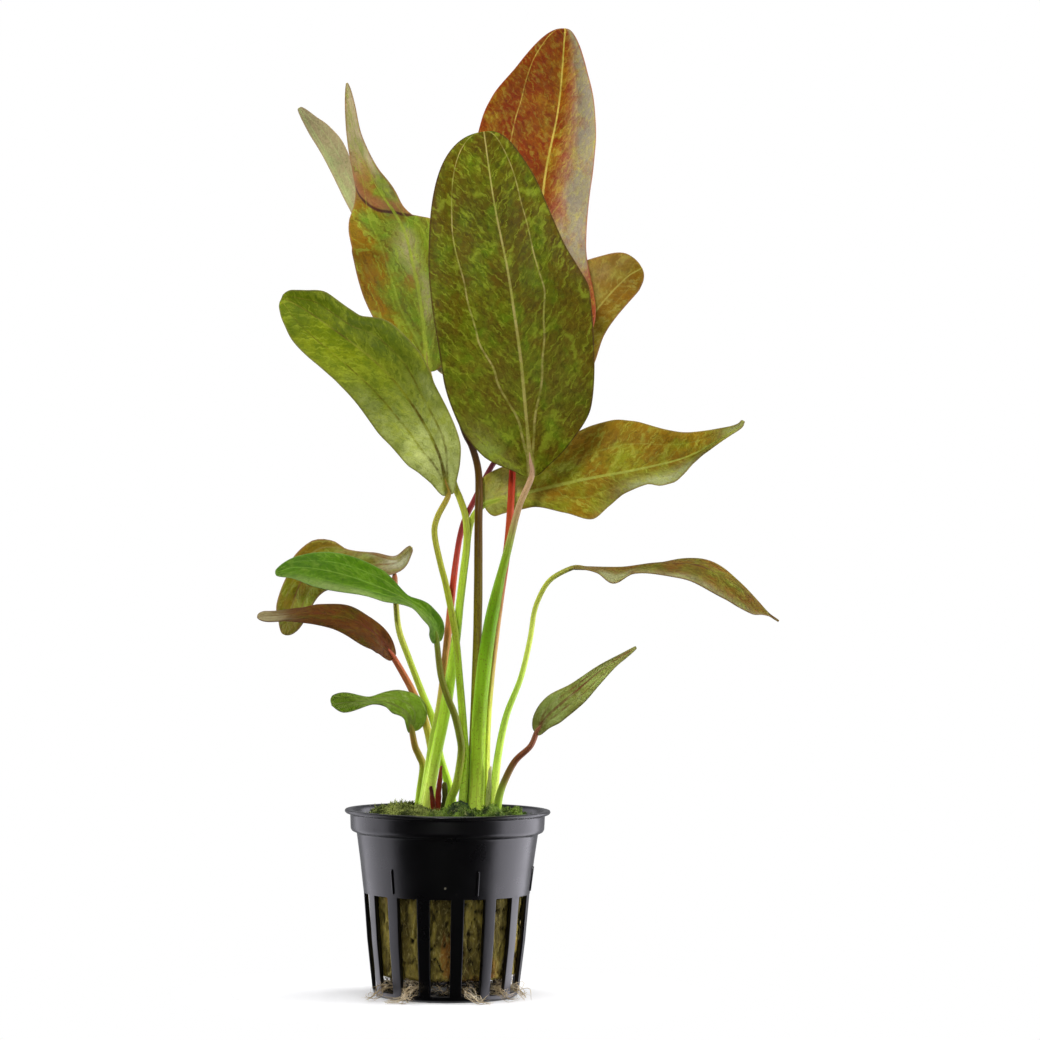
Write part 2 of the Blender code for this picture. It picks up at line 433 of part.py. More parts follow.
def pot_shell():
    """The pot's wall, rim and floor as one skin, with the slots and floor holes left open."""
    lines = pot_columns()
    count = len(lines)
    rings = OUTER_PROFILE + INNER_PROFILE[::-1]
    last = len(rings) - 1
    points = [polar(r, angle, z) for r, z in rings for angle, _ in lines]
    faces = []
    for ring in range(last):
        low = min(ring, last - ring - 1)
        for n, (_, slotted) in enumerate(lines):
            if slotted and (low, low + 1) in HOLE_BANDS:
                continue
            m = (n + 1) % count
            faces.append((ring * count + n, ring * count + m, (ring + 1) * count + m, (ring + 1) * count + n))
    for n, (_, slotted) in enumerate(lines):
        m, before = (n + 1) % count, lines[n - 1][1]
        for low, high in HOLE_BANDS:
            if slotted != before:
                faces.append((low * count + n, high * count + n, (last - high) * count + n, (last - low) * count + n))
        if slotted:
            for ring in HOLE_ENDS:
                back = last - ring
                faces.append((ring * count + n, ring * count + m, back * count + m, back * count + n))
    return points, faces, lines, count, last


def close_floor(points, faces, lines, count, last):
    """Fills the middle of the floor; its rim is also the inner edge of the floor holes."""
    under, over = len(points), len(points) + 1
    points.append((0, 0, 0))
    points.append((0, 0, INNER_PROFILE[0][1]))
    for n, (_, slotted) in enumerate(lines):
        m = (n + 1) % count
        faces.append((under, n, m))
        faces.append((over, last * count + n, last * count + m))
        if slotted:
            faces.append((n, m, last * count + m, last * count + n))


def nib_box(degrees):
    """A small upright rib on the outside of the wall, set a little into it."""
    wide, deep, tall = (s / 2 for s in NIB_SIZE)
    wall = np.interp(NIB_MIDDLE_HEIGHT, [27.3, 43.6], [21.9, 24.2])
    lean = (24.2 - 21.9) / (43.6 - 27.3)
    half_angle = math.degrees(wide / wall)
    points = []
    for side in (-1, 1):
        for out in (-1, 1):
            for up in (-1, 1):
                radius = wall + out * deep + 0.3 + up * tall * lean
                points.append(polar(radius, degrees + side * half_angle, NIB_MIDDLE_HEIGHT + up * tall))
    faces = [(0, 1, 3, 2), (4, 6, 7, 5), (0, 4, 5, 1), (2, 3, 7, 6), (0, 2, 6, 4), (1, 5, 7, 3)]
    return points, faces


def make_pot():
    points, faces, lines, count, last = pot_shell()
    close_floor(points, faces, lines, count, last)
    pot = make_object("pot", points, faces, COLOURS["pot"], 0.35)
    for n, degrees in enumerate(NIB_ANGLES_DEG):
        nib = make_object(f"nib_cutter_{n}", *nib_box(degrees), COLOURS["pot"])
        join = pot.modifiers.new(f"nib_{n}", "BOOLEAN")
        join.operation = "UNION"
        join.solver = "EXACT"
        join.object = nib
        nib.hide_render = True
        nib.display_type = "WIRE"


def make_rock_wool():
    """The fibre plug that the roots grow in, a little uneven all round."""
    sides = 24
    points, faces = [], []
    for r, z in WOOL_PROFILE:
        for n in range(sides):
            angle = 360 * n / sides
            uneven = 0.18 * math.sin(3 * math.radians(angle) + z / 5) + 0.12 * math.sin(7 * math.radians(angle) - z / 3)
            points.append(polar(r + uneven, angle, z))
    for ring in range(len(WOOL_PROFILE) - 1):
        for n in range(sides):
            m = (n + 1) % sides
            faces.append((ring * sides + n, ring * sides + m, (ring + 1) * sides + m, (ring + 1) * sides + n))
    faces.append(tuple(range(sides)))
    faces.append(tuple(range(len(points) - sides, len(points))))
    make_object("rock_wool", points, faces, COLOURS["rock_wool"], 0.9)


def on_ellipse(centre, radii, angle, height):
    return (centre[0] + radii[0] * math.cos(angle), centre[1] + radii[1] * math.sin(angle), height)


def make_crown():
    """The short rootstock that all the stems stand on."""
    sides = 24
    rings = [(1.0, CROWN_FOOT), (1.0, CROWN_TOP - 1.0), (0.95, CROWN_TOP)]
    points = [on_ellipse(CROWN_CENTRE, [r * k for r in CROWN_RADII], 2 * math.pi * n / sides, z)
              for k, z in rings for n in range(sides)]
    faces = [tuple(range(sides)), tuple(range(2 * sides, 3 * sides))]
    for ring in range(2):
        for n in range(sides):
            m = (n + 1) % sides
            faces.append((ring * sides + n, ring * sides + m, (ring + 1) * sides + m, (ring + 1) * sides + n))
    make_object("crown", points, faces, COLOURS["crown"], 0.8)


def moss_height(x, y):
    height = MOSS_TOP
    for rise_x, rise_y, high, reach in MOSS_RISES:
        height += high * math.exp(-((x - rise_x) ** 2 + (y - rise_y) ** 2) / (0.5 * reach * reach))
    return height


def make_moss_bed():
    """The moss cover: a ring around the crown with low rises in it."""
    sides, steps = 36, 4
    hole = [r + MOSS_GAP for r in CROWN_RADII]
    points, faces = [], []
    for step in range(steps + 1):
        share = step / steps
        for n in range(sides):
            angle = 2 * math.pi * n / sides
            inside = on_ellipse(CROWN_CENTRE, hole, angle, 0)
            reach = MOSS_RADIUS + 0.4 * math.sin(5 * angle)
            outside = (reach * math.cos(angle), reach * math.sin(angle))
            x, y = (inside[k] + (outside[k] - inside[k]) * share for k in range(2))
            edge = math.sin(math.pi * min(1, 0.25 + share)) if share > 0.5 else 1
            points.append((x, y, MOSS_FOOT + (moss_height(x, y) - MOSS_FOOT) * (0.55 + 0.45 * edge)))
    for step in (steps, 0):
        for n in range(sides):
            x, y, _ = points[step * sides + n]
            points.append((x, y, MOSS_FOOT))
    rings = steps + 3
    for ring in range(rings):
        for n in range(sides):
            m, after = (n + 1) % sides, (ring + 1) % rings
            faces.append((ring * sides + n, ring * sides + m, after * sides + m, after * sides + n))
    make_object("moss_bed", points, faces, COLOURS["moss"], 0.9)


def make_tuft():
    """The dark tuft of moss in front of the stems."""
    sides, rings = 10, 4
    (cx, cy, cz), (rx, ry, tall) = TUFT_CENTRE, TUFT_SIZE
    points, faces = [], []
    for ring in range(rings):
        lift = ring / rings
        wide = math.sqrt(1 - lift ** 2)
        for n in range(sides):
            angle = 2 * math.pi * n / sides
            points.append((cx + rx * wide * math.cos(angle), cy + ry * wide * math.sin(angle), cz + tall * lift))
    points.append((cx, cy, cz + tall))
    for ring in range(rings - 1):
        for n in range(sides):
            m = (n + 1) % sides
            faces.append((ring * sides + n, ring * sides + m, (ring + 1) * sides + m, (ring + 1) * sides + n))
    for n in range(sides):
        faces.append(((rings - 1) * sides + n, (rings - 1) * sides + (n + 1) % sides, len(points) - 1))
    faces.append(tuple(range(sides)))
    make_object("moss_tuft", points, faces, COLOURS["tuft"], 0.9)


def main():
    clear_objects()
    make_pot()
    make_rock_wool()
    make_crown()
    make_moss_bed()
    make_tuft()
    for name, stem in STEMS.items():
        make_stem(name, stem)
    for name, blade in BLADES.items():
        make_blade(name, blade)
    for name, (route, radii, colour) in STUBS.items():
        make_object(name, *tube(route, radii, 6), colour, 0.6)
    for name, route in ROOTS.items():
        make_object(name, *tube(route, [ROOT_RADIUS, ROOT_RADIUS, ROOT_RADIUS * 0.6], 5, count=6), COLOURS["root"], 0.7)


main()
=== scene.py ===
import math
import random

import bmesh
import bpy
import numpy as np
from mathutils import Matrix, Vector, noise


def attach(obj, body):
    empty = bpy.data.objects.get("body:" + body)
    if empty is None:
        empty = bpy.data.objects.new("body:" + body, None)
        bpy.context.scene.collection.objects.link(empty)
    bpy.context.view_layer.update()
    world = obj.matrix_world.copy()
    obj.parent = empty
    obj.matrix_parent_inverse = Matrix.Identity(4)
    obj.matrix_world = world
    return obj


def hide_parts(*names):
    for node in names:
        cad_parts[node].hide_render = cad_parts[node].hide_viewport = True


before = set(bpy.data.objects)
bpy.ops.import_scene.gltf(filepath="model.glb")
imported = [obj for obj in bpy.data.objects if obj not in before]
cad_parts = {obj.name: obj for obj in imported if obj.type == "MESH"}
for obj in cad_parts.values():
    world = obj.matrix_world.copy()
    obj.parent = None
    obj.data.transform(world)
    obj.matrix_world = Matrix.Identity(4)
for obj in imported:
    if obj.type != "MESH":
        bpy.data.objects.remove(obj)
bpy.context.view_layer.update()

# Lengths in the tables are millimetres. -Y is the front, +X the right of the picture.
MM = 0.001
chance = random.Random(7)
noise.seed_set(7)

# The view: a level camera with a slight roll. Its place is in metres.
CAMERA_PLACE = (0.0185, -1.1, 0.127)
CAMERA_LENS, CAMERA_SENSOR = 142.6, 36
CAMERA_ROLL_DEG = 0.6

# The net pot, as radius and height. Bars are spaced evenly, and angles count from the front towards +X.
BAR_COUNT, BAR_WIDTH_DEG, FIRST_BAR_DEG = 15, 9.0, 8.5
BAR_PITCH_DEG = 360 / BAR_COUNT
WALL_LOW, WALL_HIGH = (22.15, 27.3), (23.2, 36)
INNER_WALL = [(23.35, 43.6), (22.2, 36), (21.05, 27.7), (21.0, 27.3), (19.9, 15), (18.85, 4.6), (18.6, 1.7)]
POT_PROFILE = [
    (0, 0), (8, 0), (15.5, 0), (18.3, 0), (19.2, 0.5), (19.6, 1.7), (19.95, 4.6), (21.15, 15), WALL_LOW,
    (22.2, 27.7), WALL_HIGH, (24.12, 42.6), (24.2, 43.2), (25.5, 43.8), (25.85, 44.5), (25.87, 44.9),
    (25.99, 47.8), (26.0, 48.2), (27.1, 48.5), (27.5, 49.0), (27.3, 49.5), (25.8, 49.5), (25.1, 48.4),
    (24.95, 45.4), (24.7, 44.7), *INNER_WALL, (18.3, 1.35), (17.7, 1.1), (15.5, 1.1), (8, 1.1), (0, 1.1)]
FLOOR_TOP, FLOOR_HOLE_RADII = 1.3, (8.0, 15.5)
SLOT_HEIGHTS, SLOTS_FROM_RADIUS = (1.7, 27.3), 18
NIB_ANGLES_DEG = (-38, 22, 82, 142, 202, 262)
NIB_SIZE, NIB_MIDDLE_HEIGHT = (0.55, 0.8, 6.6), 31.6
EDGE_ROUNDING, POT_STEPS = 0.14, 360

# What fills the pot.
WOOL_PROFILE = [(0, 5.6), (8, 5.4), (16.4, 5.4), (18.0, 6.3), (18.9, 14), (19.8, 26), (21.3, 38), (22.2, 43),
                (21.4, 43.9), (10, 44.0), (0, 44.0)]
WOOL_SIDE_RADIUS, WOOL_STEPS, WOOL_FIBRES = 16.3, 420, 1100
CROWN_CENTRE, CROWN_RADII, CROWN_TOP = (3.0, 1.2), (14.3, 12.2), 48.0
MOSS_FOOT, MOSS_TOP, MOSS_RADIUS = 44.2, 48.6, 22.9
# Where the moss stands higher or lower: x, y, how much and how far around.
MOSS_RISES = [(-14.0, -10.0, 2.8, 7.0), (-19.0, -1.0, 1.2, 5.0), (-7.0, -14.5, 2.6, 5.0),
              (3.0, -15.5, 3.4, 6.0), (12.0, -12.5, 3.2, 4.0), (18.0, -8.0, 2.6, 3.0), (-12.0, 9.0, 1.8, 6.0),
              (8.0, 16.0, 1.6, 8.0), (-21.0, 2.0, -2.6, 4.5), (21.5, 3.0, -2.2, 4.0)]
TUFT_CENTRE, TUFT_SIZE = (3.3, -9.2, 48.3), (3.4, 1.9, 4.4)
MOSS_SPRIGS, TUFT_SPRIGS = 6000, 900
FINE_ROOTS, LOOSE_ROOTS, ROOT_RADIUS = 14, 260, 0.24

# Leaves. A raised vein's numbers: its reach sideways, and its height over and under the blade.
STEM_FOOT = 48.4
BLADE_THICKNESS, CREASE_STEP = 0.45, 1.1
STEM_FLARE_REACH, STEM_WOBBLE_LENGTH = 7, 9
MIDRIB_RIDGE, SIDE_RIDGE = (0.55, 0.16, 0.5), (0.35, 0.09, 0.2)
# What a blade's skin is told: its colours, how strong or how steep each kind of marking is, and what each
# of its points carries.
COLOURS = ("Ground", "Patch", "Net", "Bright", "Pale", "Dark", "Vein", "Rim", "Under", "Crease Shade", "Band")
AMOUNTS = ("Patch Amount", "Net Amount", "Fine Amount", "Slant", "Run", "Pale Mottle", "Side Veins", "Seed")
CARRIED = ("flat", "veins", "place", "zones", "crease")
PLAIN_MOTTLE, PLAIN_SIDE_VEINS = 0.3, 1.0

# Each stem: the points its centre line runs through and its radius from foot to top.
STEMS = {
    "front": (
        [(7.5, -5.2, STEM_FOOT), (7.8, -5.5, 60), (8.4, -6.6, 78), (10.2, -8.6, 95), (12.6, -11.2, 108),
         (15.4, -13.7, 119.5), (18.1, -16, 130.3), (21.4, -18, 138.6)],
        [1.95, 1.95, 1.9, 1.9, 1.75, 1.05, 0.85, 0.75]),
    "back_tall": (
        [(9.9, -0.2, STEM_FOOT), (9.7, -0.5, 62), (10.3, -1, 78), (11.8, -1.5, 94), (13.3, -1.5, 106),
         (15.2, -0.5, 120), (15.9, 1.6, 130), (16.3, 4.6, 141), (16.4, 9, 153.2)],
        [1.4, 1.3, 1.2, 1.1, 1.0, 0.9, 0.8]),
    "back_right": (
        [(-7, 3.3, STEM_FOOT), (-6, 3.3, 54), (-4.2, 3.3, 67), (-2.1, 3.5, 79), (-0.2, 4.3, 100),
         (1.3, 5.2, 115), (3, 6.5, 125), (6, 8.5, 132), (11.2, 11.4, 142.2), (17.5, 17.5, 150),
         (22, 22, 155.2)],
        [1.35, 1.2, 1.0, 0.8, 0.7, 0.7]),
    "upper_left": (
        [(-5.9, -3, STEM_FOOT), (-5, -3, 54), (-2.8, -2.9, 66), (-0.6, -2.9, 77), (0.9, -3, 88), (2, -3, 97),
         (2.7, -3, 105), (3.6, -3, 113), (4.4, -3, 121), (4, -3, 127.5), (2.4, -2, 132.5), (0.6, 0, 137),
         (-2.8, 4, 150), (-6.5, 7, 166.5)],
        [1.4, 1.3, 1.1, 0.95, 0.85, 0.8]),
    "mid_left": (
        [(3.7, -5.7, STEM_FOOT), (4.2, -6, 55), (4.6, -7, 63.5), (4.2, -8, 70), (3, -9, 83.5),
         (1.7, -9.5, 96.5), (-0.8, -10, 109), (-2.4, -10, 115), (-4.1, -10, 123), (-3.4, -10, 127.5),
         (-0.5, -9.5, 133.5)],
        [1.1, 1.0, 0.9, 0.8, 0.75]),
    "far_left": (
        [(5.8, -1.5, STEM_FOOT), (6.1, -2, 53), (6.6, -2, 64), (7.2, -2, 84), (7.5, -2, 105), (7.4, -2, 127),
         (7.5, -1.5, 134), (7.1, 0, 140.5), (5.4, 3, 146.5), (3, 6, 151.5), (-1.5, 12, 166.5)],
        [1.3, 1.2, 1.15, 1.1, 0.9, 0.8]),
    "right_wavy": (
        [(-6.4, 0.2, STEM_FOOT), (-5.5, 0.2, 54), (-3.3, 0.2, 66), (-1.1, 0.2, 77.5), (1.2, 0.4, 93),
         (3.1, 0.8, 108), (4.2, 1.2, 119), (5.6, 2, 127), (8.8, 4, 131)],
        [1.35, 1.25, 1.1, 1.0, 0.9, 0.8]),
    "low_left_green": (
        [(0.1, -6.9, STEM_FOOT), (0.9, -8, 53), (2.4, -9.7, 57), (3.6, -10.8, 65.5), (3.1, -11.8, 70),
         (1.7, -12.6, 75.5), (-0.1, -13.2, 80), (-2, -13.6, 86), (-3.1, -14, 94.5)],
        [1.1, 1.0, 1.0, 0.9, 0.8, 0.75]),
    "low_left_red": (
        [(-4.8, 7.1, STEM_FOOT), (-4.4, 7.5, 56), (-4.6, 7.9, 64), (-6.6, 7.6, 73), (-9.8, 6.2, 80.5),
         (-12.3, 5, 85.2), (-15, 3.6, 89.8)],
        [1.1, 1.0, 1.0, 0.9, 0.8]),
    "low_left_back": (
        [(1.2, 9.2, STEM_FOOT), (0.4, 9.6, 54), (-2.3, 10.4, 62.5), (-4.2, 10.7, 72), (-7.2, 10.6, 79.5),
         (-11.3, 10, 90), (-13.8, 9, 97), (-14.7, 8.8, 104.5), (-15.2, 8.9, 113.2)],
        [1.1, 1.0, 0.9, 0.8, 0.75]),
    "lowest_left": (
        [(-8.1, 6.3, STEM_FOOT), (-7.6, 6.2, 54), (-6.9, 6, 60.5), (-7.9, 5, 63.5), (-9, 4, 66),
         (-9.8, 3, 70)],
        [1.0, 0.95, 0.9, 0.8]),
    "low_right_long": (
        [(11.6, -2.7, STEM_FOOT), (12.1, -2.8, 53), (13.3, -3.2, 64.5), (15.4, -3.8, 75), (19.1, -4.5, 85),
         (21.4, -5, 95), (22.4, -5, 102), (23.6, -5, 106), (25.7, -5, 110), (28.3, -5, 112.4),
         (33, -5, 114.6)],
        [1.2, 0.95, 0.75, 0.66, 0.62]),
    "low_right_small": (
        [(13.2, -6, STEM_FOOT), (13.6, -6, 53), (15, -6.3, 57.5), (17.8, -7, 63), (21.8, -8, 67),
         (23.4, -8.5, 70.6)],
        [1.0, 0.9, 0.8, 0.7]),
}

# Each blade. A place is a share of the midrib, 0 at the stem. Widths, folds, waves and veins give a
# value for one side of the midrib and for the other: half width, degrees the side folds up, millimetres
# its margin waves, and how far out of its half width the side vein runs. Faces: where the upper side looks.
BLADES = {
    "front": {
        "midrib": [(21.4, -18, 138.6), (20, -21.5, 151.9), (18.3, -25, 168.3), (16.3, -27, 181.7),
                   (14.5, -27.5, 192.5), (10.8, -26, 210.3), (8, -22, 228.5)],
        "widths": [(0, 1, 1), (0.02, 4.5, 4), (0.084, 13, 10.6), (0.19, 18.7, 17.3), (0.32, 21, 19.2),
                   (0.51, 21.3, 20.4), (0.57, 21, 18.3), (0.63, 20.4, 16), (0.71, 18.8, 14.3),
                   (0.83, 15.6, 11.9), (0.916, 12, 8.7), (0.98, 6.6, 4.8), (1, 0.4, 0.4)],
        "faces": [(0, 0.1, -1, 0), (1, -0.05, -1, 0.1)],
        "folds": [(0, 14, 14), (0.5, 7, 7), (1, 10, 10)],
        "waves": (0.7, 2.3, 0.8, 0.9, 1.7, 2.5),
        "veins": [(0, 0.05, 0.08), (0.14, 0.11, 0.13), (0.3, 0.34, 0.28), (0.42, 0.5, 0.36),
                  (0.55, 0.56, 0.44), (0.75, 0.67, 0.53), (0.92, 0.7, 0.6), (1, 0.7, 0.6)]},
    "back_tall": {
        "midrib": [(16.4, 9, 153.2), (18.2, 14, 170.3), (20.8, 18.5, 187), (22.6, 22, 203.6),
                   (24.5, 24, 221.8), (27.9, 24.5, 240.4), (29.4, 22, 261)],
        "widths": [(0, 1, 1), (0.05, 6, 6), (0.15, 14, 13), (0.32, 18, 20.3), (0.42, 20, 19.4),
                   (0.54, 20.5, 18), (0.66, 20.3, 18.4), (0.74, 20, 17), (0.81, 18.4, 14), (0.9, 12.4, 8.2),
                   (0.965, 7, 4.6), (1, 0.4, 0.4)],
        "faces": [(0, 0, -1, 0), (1, 0, -1, 0.1)],
        "folds": [(0, 5, -10), (0.3, 0, -25), (0.5, 0, -46), (0.8, 0, -44), (1, 0, -30)],
        "waves": (0.9, 2.0, 0.3, 0.7, 2.2, 1.2),
        "veins": [(0, 0.1, 0.1), (0.2, 0.35, 0.3), (0.5, 0.5, 0.5), (0.8, 0.56, 0.5), (0.95, 0.75, 0.5),
                  (1, 0.8, 0.5)]},
    "back_right": {
        "midrib": [(22, 22, 155.2), (30.4, 31, 169.3), (37.8, 37, 183.4), (46.5, 39, 193.6),
                   (51.5, 38, 196.9)],
        "widths": [(0, 1, 1), (0.15, 8, 6.4), (0.4, 14, 6.8), (0.6, 15.5, 5.6), (0.8, 12, 5.4), (0.92, 8, 5),
                   (1, 0.4, 0.4)],
        "faces": [(0, 0, -1, 0), (1, 0, -1, 0.3)],
        "folds": [(0, 5, 5), (1, 5, -10)],
        "waves": (0.8, 1.5, 0.3, 0.8, 1.2, 1.2)},
    "upper_left": {
        "midrib": [(-6.5, 7, 166.5), (-9, 7.5, 186), (-11.2, 8, 196), (-13.5, 8.5, 204.6), (-18.6, 11, 213.2),
                   (-23.4, 15, 223.3), (-26.5, 17, 232.4), (-28.7, 17, 245.1)],
        "widths": [(0, 1, 1), (0.08, 7.4, 8), (0.18, 12.8, 12), (0.29, 15, 13.4), (0.36, 15.3, 12.4),
                   (0.43, 15.4, 10.8), (0.465, 15.2, 9.4), (0.485, 14.9, 6.4), (0.505, 14.6, 3.7),
                   (0.54, 13.6, 3.0), (0.58, 11.6, 3.4), (0.62, 9.0, 3.9), (0.66, 7.2, 4.4), (0.7, 5.8, 4.8),
                   (0.8, 4.2, 5.2), (0.9, 2.4, 5.4), (0.955, 1.6, 4.4), (1, 0.4, 0.4)],
        "faces": [(0, 0, -1, 0), (0.5, 0, -1, 0.1), (0.67, -0.75, -0.6, 0.25), (1, -0.8, -0.5, 0.3)],
        "folds": [(0, 8, 8), (0.5, 5, -20), (0.7, 20, 20), (1, 20, 20)],
        "waves": (0.9, 2.2, 0.5, 0.6, 2.5, 2.0),
        "crease": [(0.69, -1.0), (0.66, -0.85), (0.625, -0.65), (0.595, -0.45), (0.56, -0.25), (0.535, -0.05),
                   (0.515, 0.3), (0.5, 0.8), (0.5, 1.0)]},
    "mid_left": {
        "midrib": [(-0.5, -9.5, 133.5), (-3.5, -14, 145.2), (-10.6, -18, 157.6), (-19.7, -21, 167.9),
                   (-34.3, -21.5, 178.7), (-42.2, -20, 183.5), (-44.7, -19, 184.4)],
        "widths": [(0, 1, 1), (0.05, 3.6, 3), (0.12, 6.8, 5), (0.18, 9.2, 6.4), (0.28, 10.7, 7.2),
                   (0.38, 11.8, 8.0), (0.45, 11.8, 9.3), (0.51, 11.7, 10.3), (0.62, 11.5, 10.5),
                   (0.66, 11.3, 9.8), (0.69, 11.2, 8.5), (0.73, 11, 7.0), (0.78, 10.7, 6.9), (0.86, 9.4, 7.1),
                   (0.93, 6.5, 4.7), (1, 0.4, 0.4)],
        "faces": [(0, 0, -1, 0), (0.5, 0, -1, 0.2), (1, -0.1, -0.9, 0.4)],
        "folds": [(0, 15, 10), (0.5, 8, 15), (1, 10, 25)],
        "waves": (0.8, 1.8, 0.2, 1.0, 2.0, 2.0)},
    "far_left": {
        "midrib": [(-1.5, 12, 166.5), (-14.8, 20, 186.7), (-26.1, 26, 208.5), (-35.2, 29, 226.5),
                   (-43.3, 29, 239.3)],
        "widths": [(0, 1, 1), (0.15, 2.8, 6), (0.4, 0.6, 6), (0.6, 1.2, 5), (0.7, 1.4, 4.9),
                   (0.825, 1.4, 5.7), (0.9, 1.5, 4.5), (0.95, 1.2, 2.7), (1, 0.3, 0.3)],
        "faces": [(0, 0, -1, 0), (1, -0.3, -1, 0)],
        "folds": [(0, 5, 5), (1, 5, 5)],
        "waves": (0.3, 1.5, 0.2, 0.6, 1.5, 1.0)},
    "right_wavy": {
        "midrib": [(8.8, 4, 131), (14.5, 6.5, 133), (21, 9.5, 134.5), (35.4, 13, 138), (50.9, 14, 141.1),
                   (64.1, 12, 144.8), (76.2, 9, 151.9), (78.4, 8.5, 154.3)],
        "widths": [(0, 1, 1), (0.03, 7, 4), (0.17, 9, 4), (0.28, 11, 8), (0.38, 13.4, 11), (0.46, 14.8, 8),
                   (0.52, 15, 5.6), (0.6, 13.4, 4.7), (0.65, 11.4, 5.9), (0.69, 9.8, 5.7), (0.73, 8.4, 4),
                   (0.77, 7, 2), (0.82, 5.4, 1), (0.9, 3, 0.9), (0.96, 1.3, 0.8), (1, 0.4, 0.4)],
        "faces": [(0, 0, -1, 0), (0.4, 0, -0.9, 0.3), (1, 0, -1, 0.2)],
        "folds": [(0, 5, 5), (0.5, 0, -10), (1, 10, 10)],
        "waves": (0.9, 2.0, 0.9, 1.5, 3.0, 2.6)},
    "low_left_green": {
        "midrib": [(-3.1, -14, 94.5), (-4.2, -15.5, 99.4), (-8.9, -18, 103.9), (-16.6, -20.5, 108.1),
                   (-28.4, -23, 112.2), (-38.9, -25, 113.8), (-45.2, -25, 112.4)],
        "widths": [(0, 1, 1), (0.1, 3.2, 3.4), (0.25, 4.4, 5), (0.35, 5.6, 7.6), (0.45, 7.4, 8.2),
                   (0.65, 10, 7.4), (0.8, 8.8, 6.2), (0.93, 5, 4), (1, 0.4, 0.4)],
        "faces": [(0, 0.5, -0.8, 0.3), (0.15, 0.3, -0.6, 0.7), (0.28, 0, -0.32, 0.95), (0.45, 0, -0.5, 0.85),
                  (0.75, -0.1, -0.6, 0.8), (1, -0.3, -0.5, 0.8)],
        "folds": [(0, 8, 8), (1, 8, 8)],
        "waves": (0.5, 2.0, 0.3, 0.6, 1.6, 1.2)},
    "low_left_red": {
        "midrib": [(-15, 3.6, 89.8), (-19.1, 1, 95.1), (-26.4, -4, 99.9), (-37, -8, 101.5), (-45, -9, 100.8),
                   (-50.8, -9.5, 100.6)],
        "widths": [(0, 1, 1), (0.1, 4.5, 3), (0.25, 9, 5), (0.4, 10.5, 5.8), (0.6, 8.6, 4), (0.72, 7.6, 2.2),
                   (0.86, 4.6, 3), (0.94, 4.2, 3), (1, 0.4, 0.4)],
        "faces": [(0, 0.3, -0.65, 0.5), (0.3, 0.1, -0.65, 0.76), (0.6, 0, -0.5, 0.85), (1, 0, -0.4, 0.9)],
        "folds": [(0, 8, 8), (1, 8, 8)],
        "waves": (0.5, 1.6, 0.3, 0.5, 1.6, 1.2)},
    "low_left_back": {
        "midrib": [(-10.6, 8, 119.3), (-15, 9.6, 116), (-21.3, 11.5, 117.4), (-28.6, 13, 117.8),
                   (-35.4, 13.5, 115.3), (-40.9, 13, 108.3), (-44.6, 12, 95.3)],
        "widths": [(0, 0.6, 0.6), (0.04, 2.2, 1), (0.1, 4.4, 1), (0.2, 8, 0.8), (0.33, 11, 0.5),
                   (0.39, 11.4, 1), (0.46, 11.6, 4.4), (0.54, 11.4, 6.6), (0.62, 10, 6.4), (0.7, 8.5, 4.8),
                   (0.85, 6.8, 5.4), (0.94, 5, 3.4), (1, 0.4, 0.4)],
        "faces": [(0, 0.1, -0.85, 0.5), (0.4, -0.2, -0.85, 0.5), (1, -0.6, -0.75, 0.2)],
        "folds": [(0, 5, 5), (1, 5, 5)],
        "waves": (0.5, 1.6, 0.3, 0.5, 1.6, 1.2)},
    "lowest_left": {
        "midrib": [(-9.8, 3, 70), (-11, 2, 74.6), (-15.5, 0.5, 77.3), (-21, -2.5, 78), (-26.4, -6, 77.9),
                   (-30.8, -9, 77.5)],
        "widths": [(0, 1, 1), (0.1, 1.6, 4.5), (0.2, 2, 6), (0.3, 2.6, 5.4), (0.4, 3, 4.5), (0.6, 4.2, 4),
                   (0.8, 3.8, 3.8), (0.93, 3.6, 3.2), (1, 0.5, 0.5)],
        "faces": [(0, 0.2, -0.95, 0.2), (0.3, 0.1, -0.8, 0.6), (0.55, 0, -0.2, 1), (0.9, -0.1, -0.8, 0.6)],
        "folds": [(0, 8, 8), (1, 8, 8)],
        "waves": (0.3, 1.6, 0.3, 0.3, 1.6, 1.2)},
    "low_right_long": {
        "midrib": [(33, -5, 114.6), (45, -7.5, 114.5), (54.2, -10, 115.6), (66, -12.5, 115.1),
                   (75.2, -13.5, 110.3), (83.2, -14, 103.8), (87, -14, 101.1)],
        "widths": [(0, 1, 1), (0.08, 4, 4), (0.2, 6, 8), (0.3, 6.6, 7), (0.45, 7, 7.4), (0.65, 6.8, 7.8),
                   (0.8, 5.4, 7.6), (0.89, 3.2, 5.4), (0.93, 1.6, 2), (0.96, 0.7, 0.7), (1, 0.6, 0.5)],
        "faces": [(0, 0, -0.05, 1), (0.25, 0, -0.05, 1), (0.5, 0, -0.35, 0.93), (1, 0.2, -0.4, 0.9)],
        "folds": [(0, -8, -8), (0.12, -8, -10), (0.2, -8, -24), (0.3, -8, -10), (1, -8, -8)],
        "waves": (0.6, 2.0, 0.3, 0.5, 2.4, 1.2)},
    "low_right_small": {
        "midrib": [(23.4, -8.5, 70.6), (26.9, -11, 75.6), (33.4, -14, 81.5), (41.1, -16.5, 88.2),
                   (49.4, -17.5, 93.9)],
        "widths": [(0, 0.8, 0.8), (0.1, 3.4, 2.7), (0.25, 4.2, 4.4), (0.45, 2.8, 4.4), (0.65, 1.8, 3.4),
                   (0.85, 0.9, 1.4), (1, 0.3, 0.3)],
        "faces": [(0, -0.2, -0.85, 0.45), (1, -0.2, -0.85, 0.45)],
        "folds": [(0, 10, 10), (1, 10, 10)],
        "waves": (0.3, 1.6, 0.3, 0.3, 1.6, 1.2)},
}
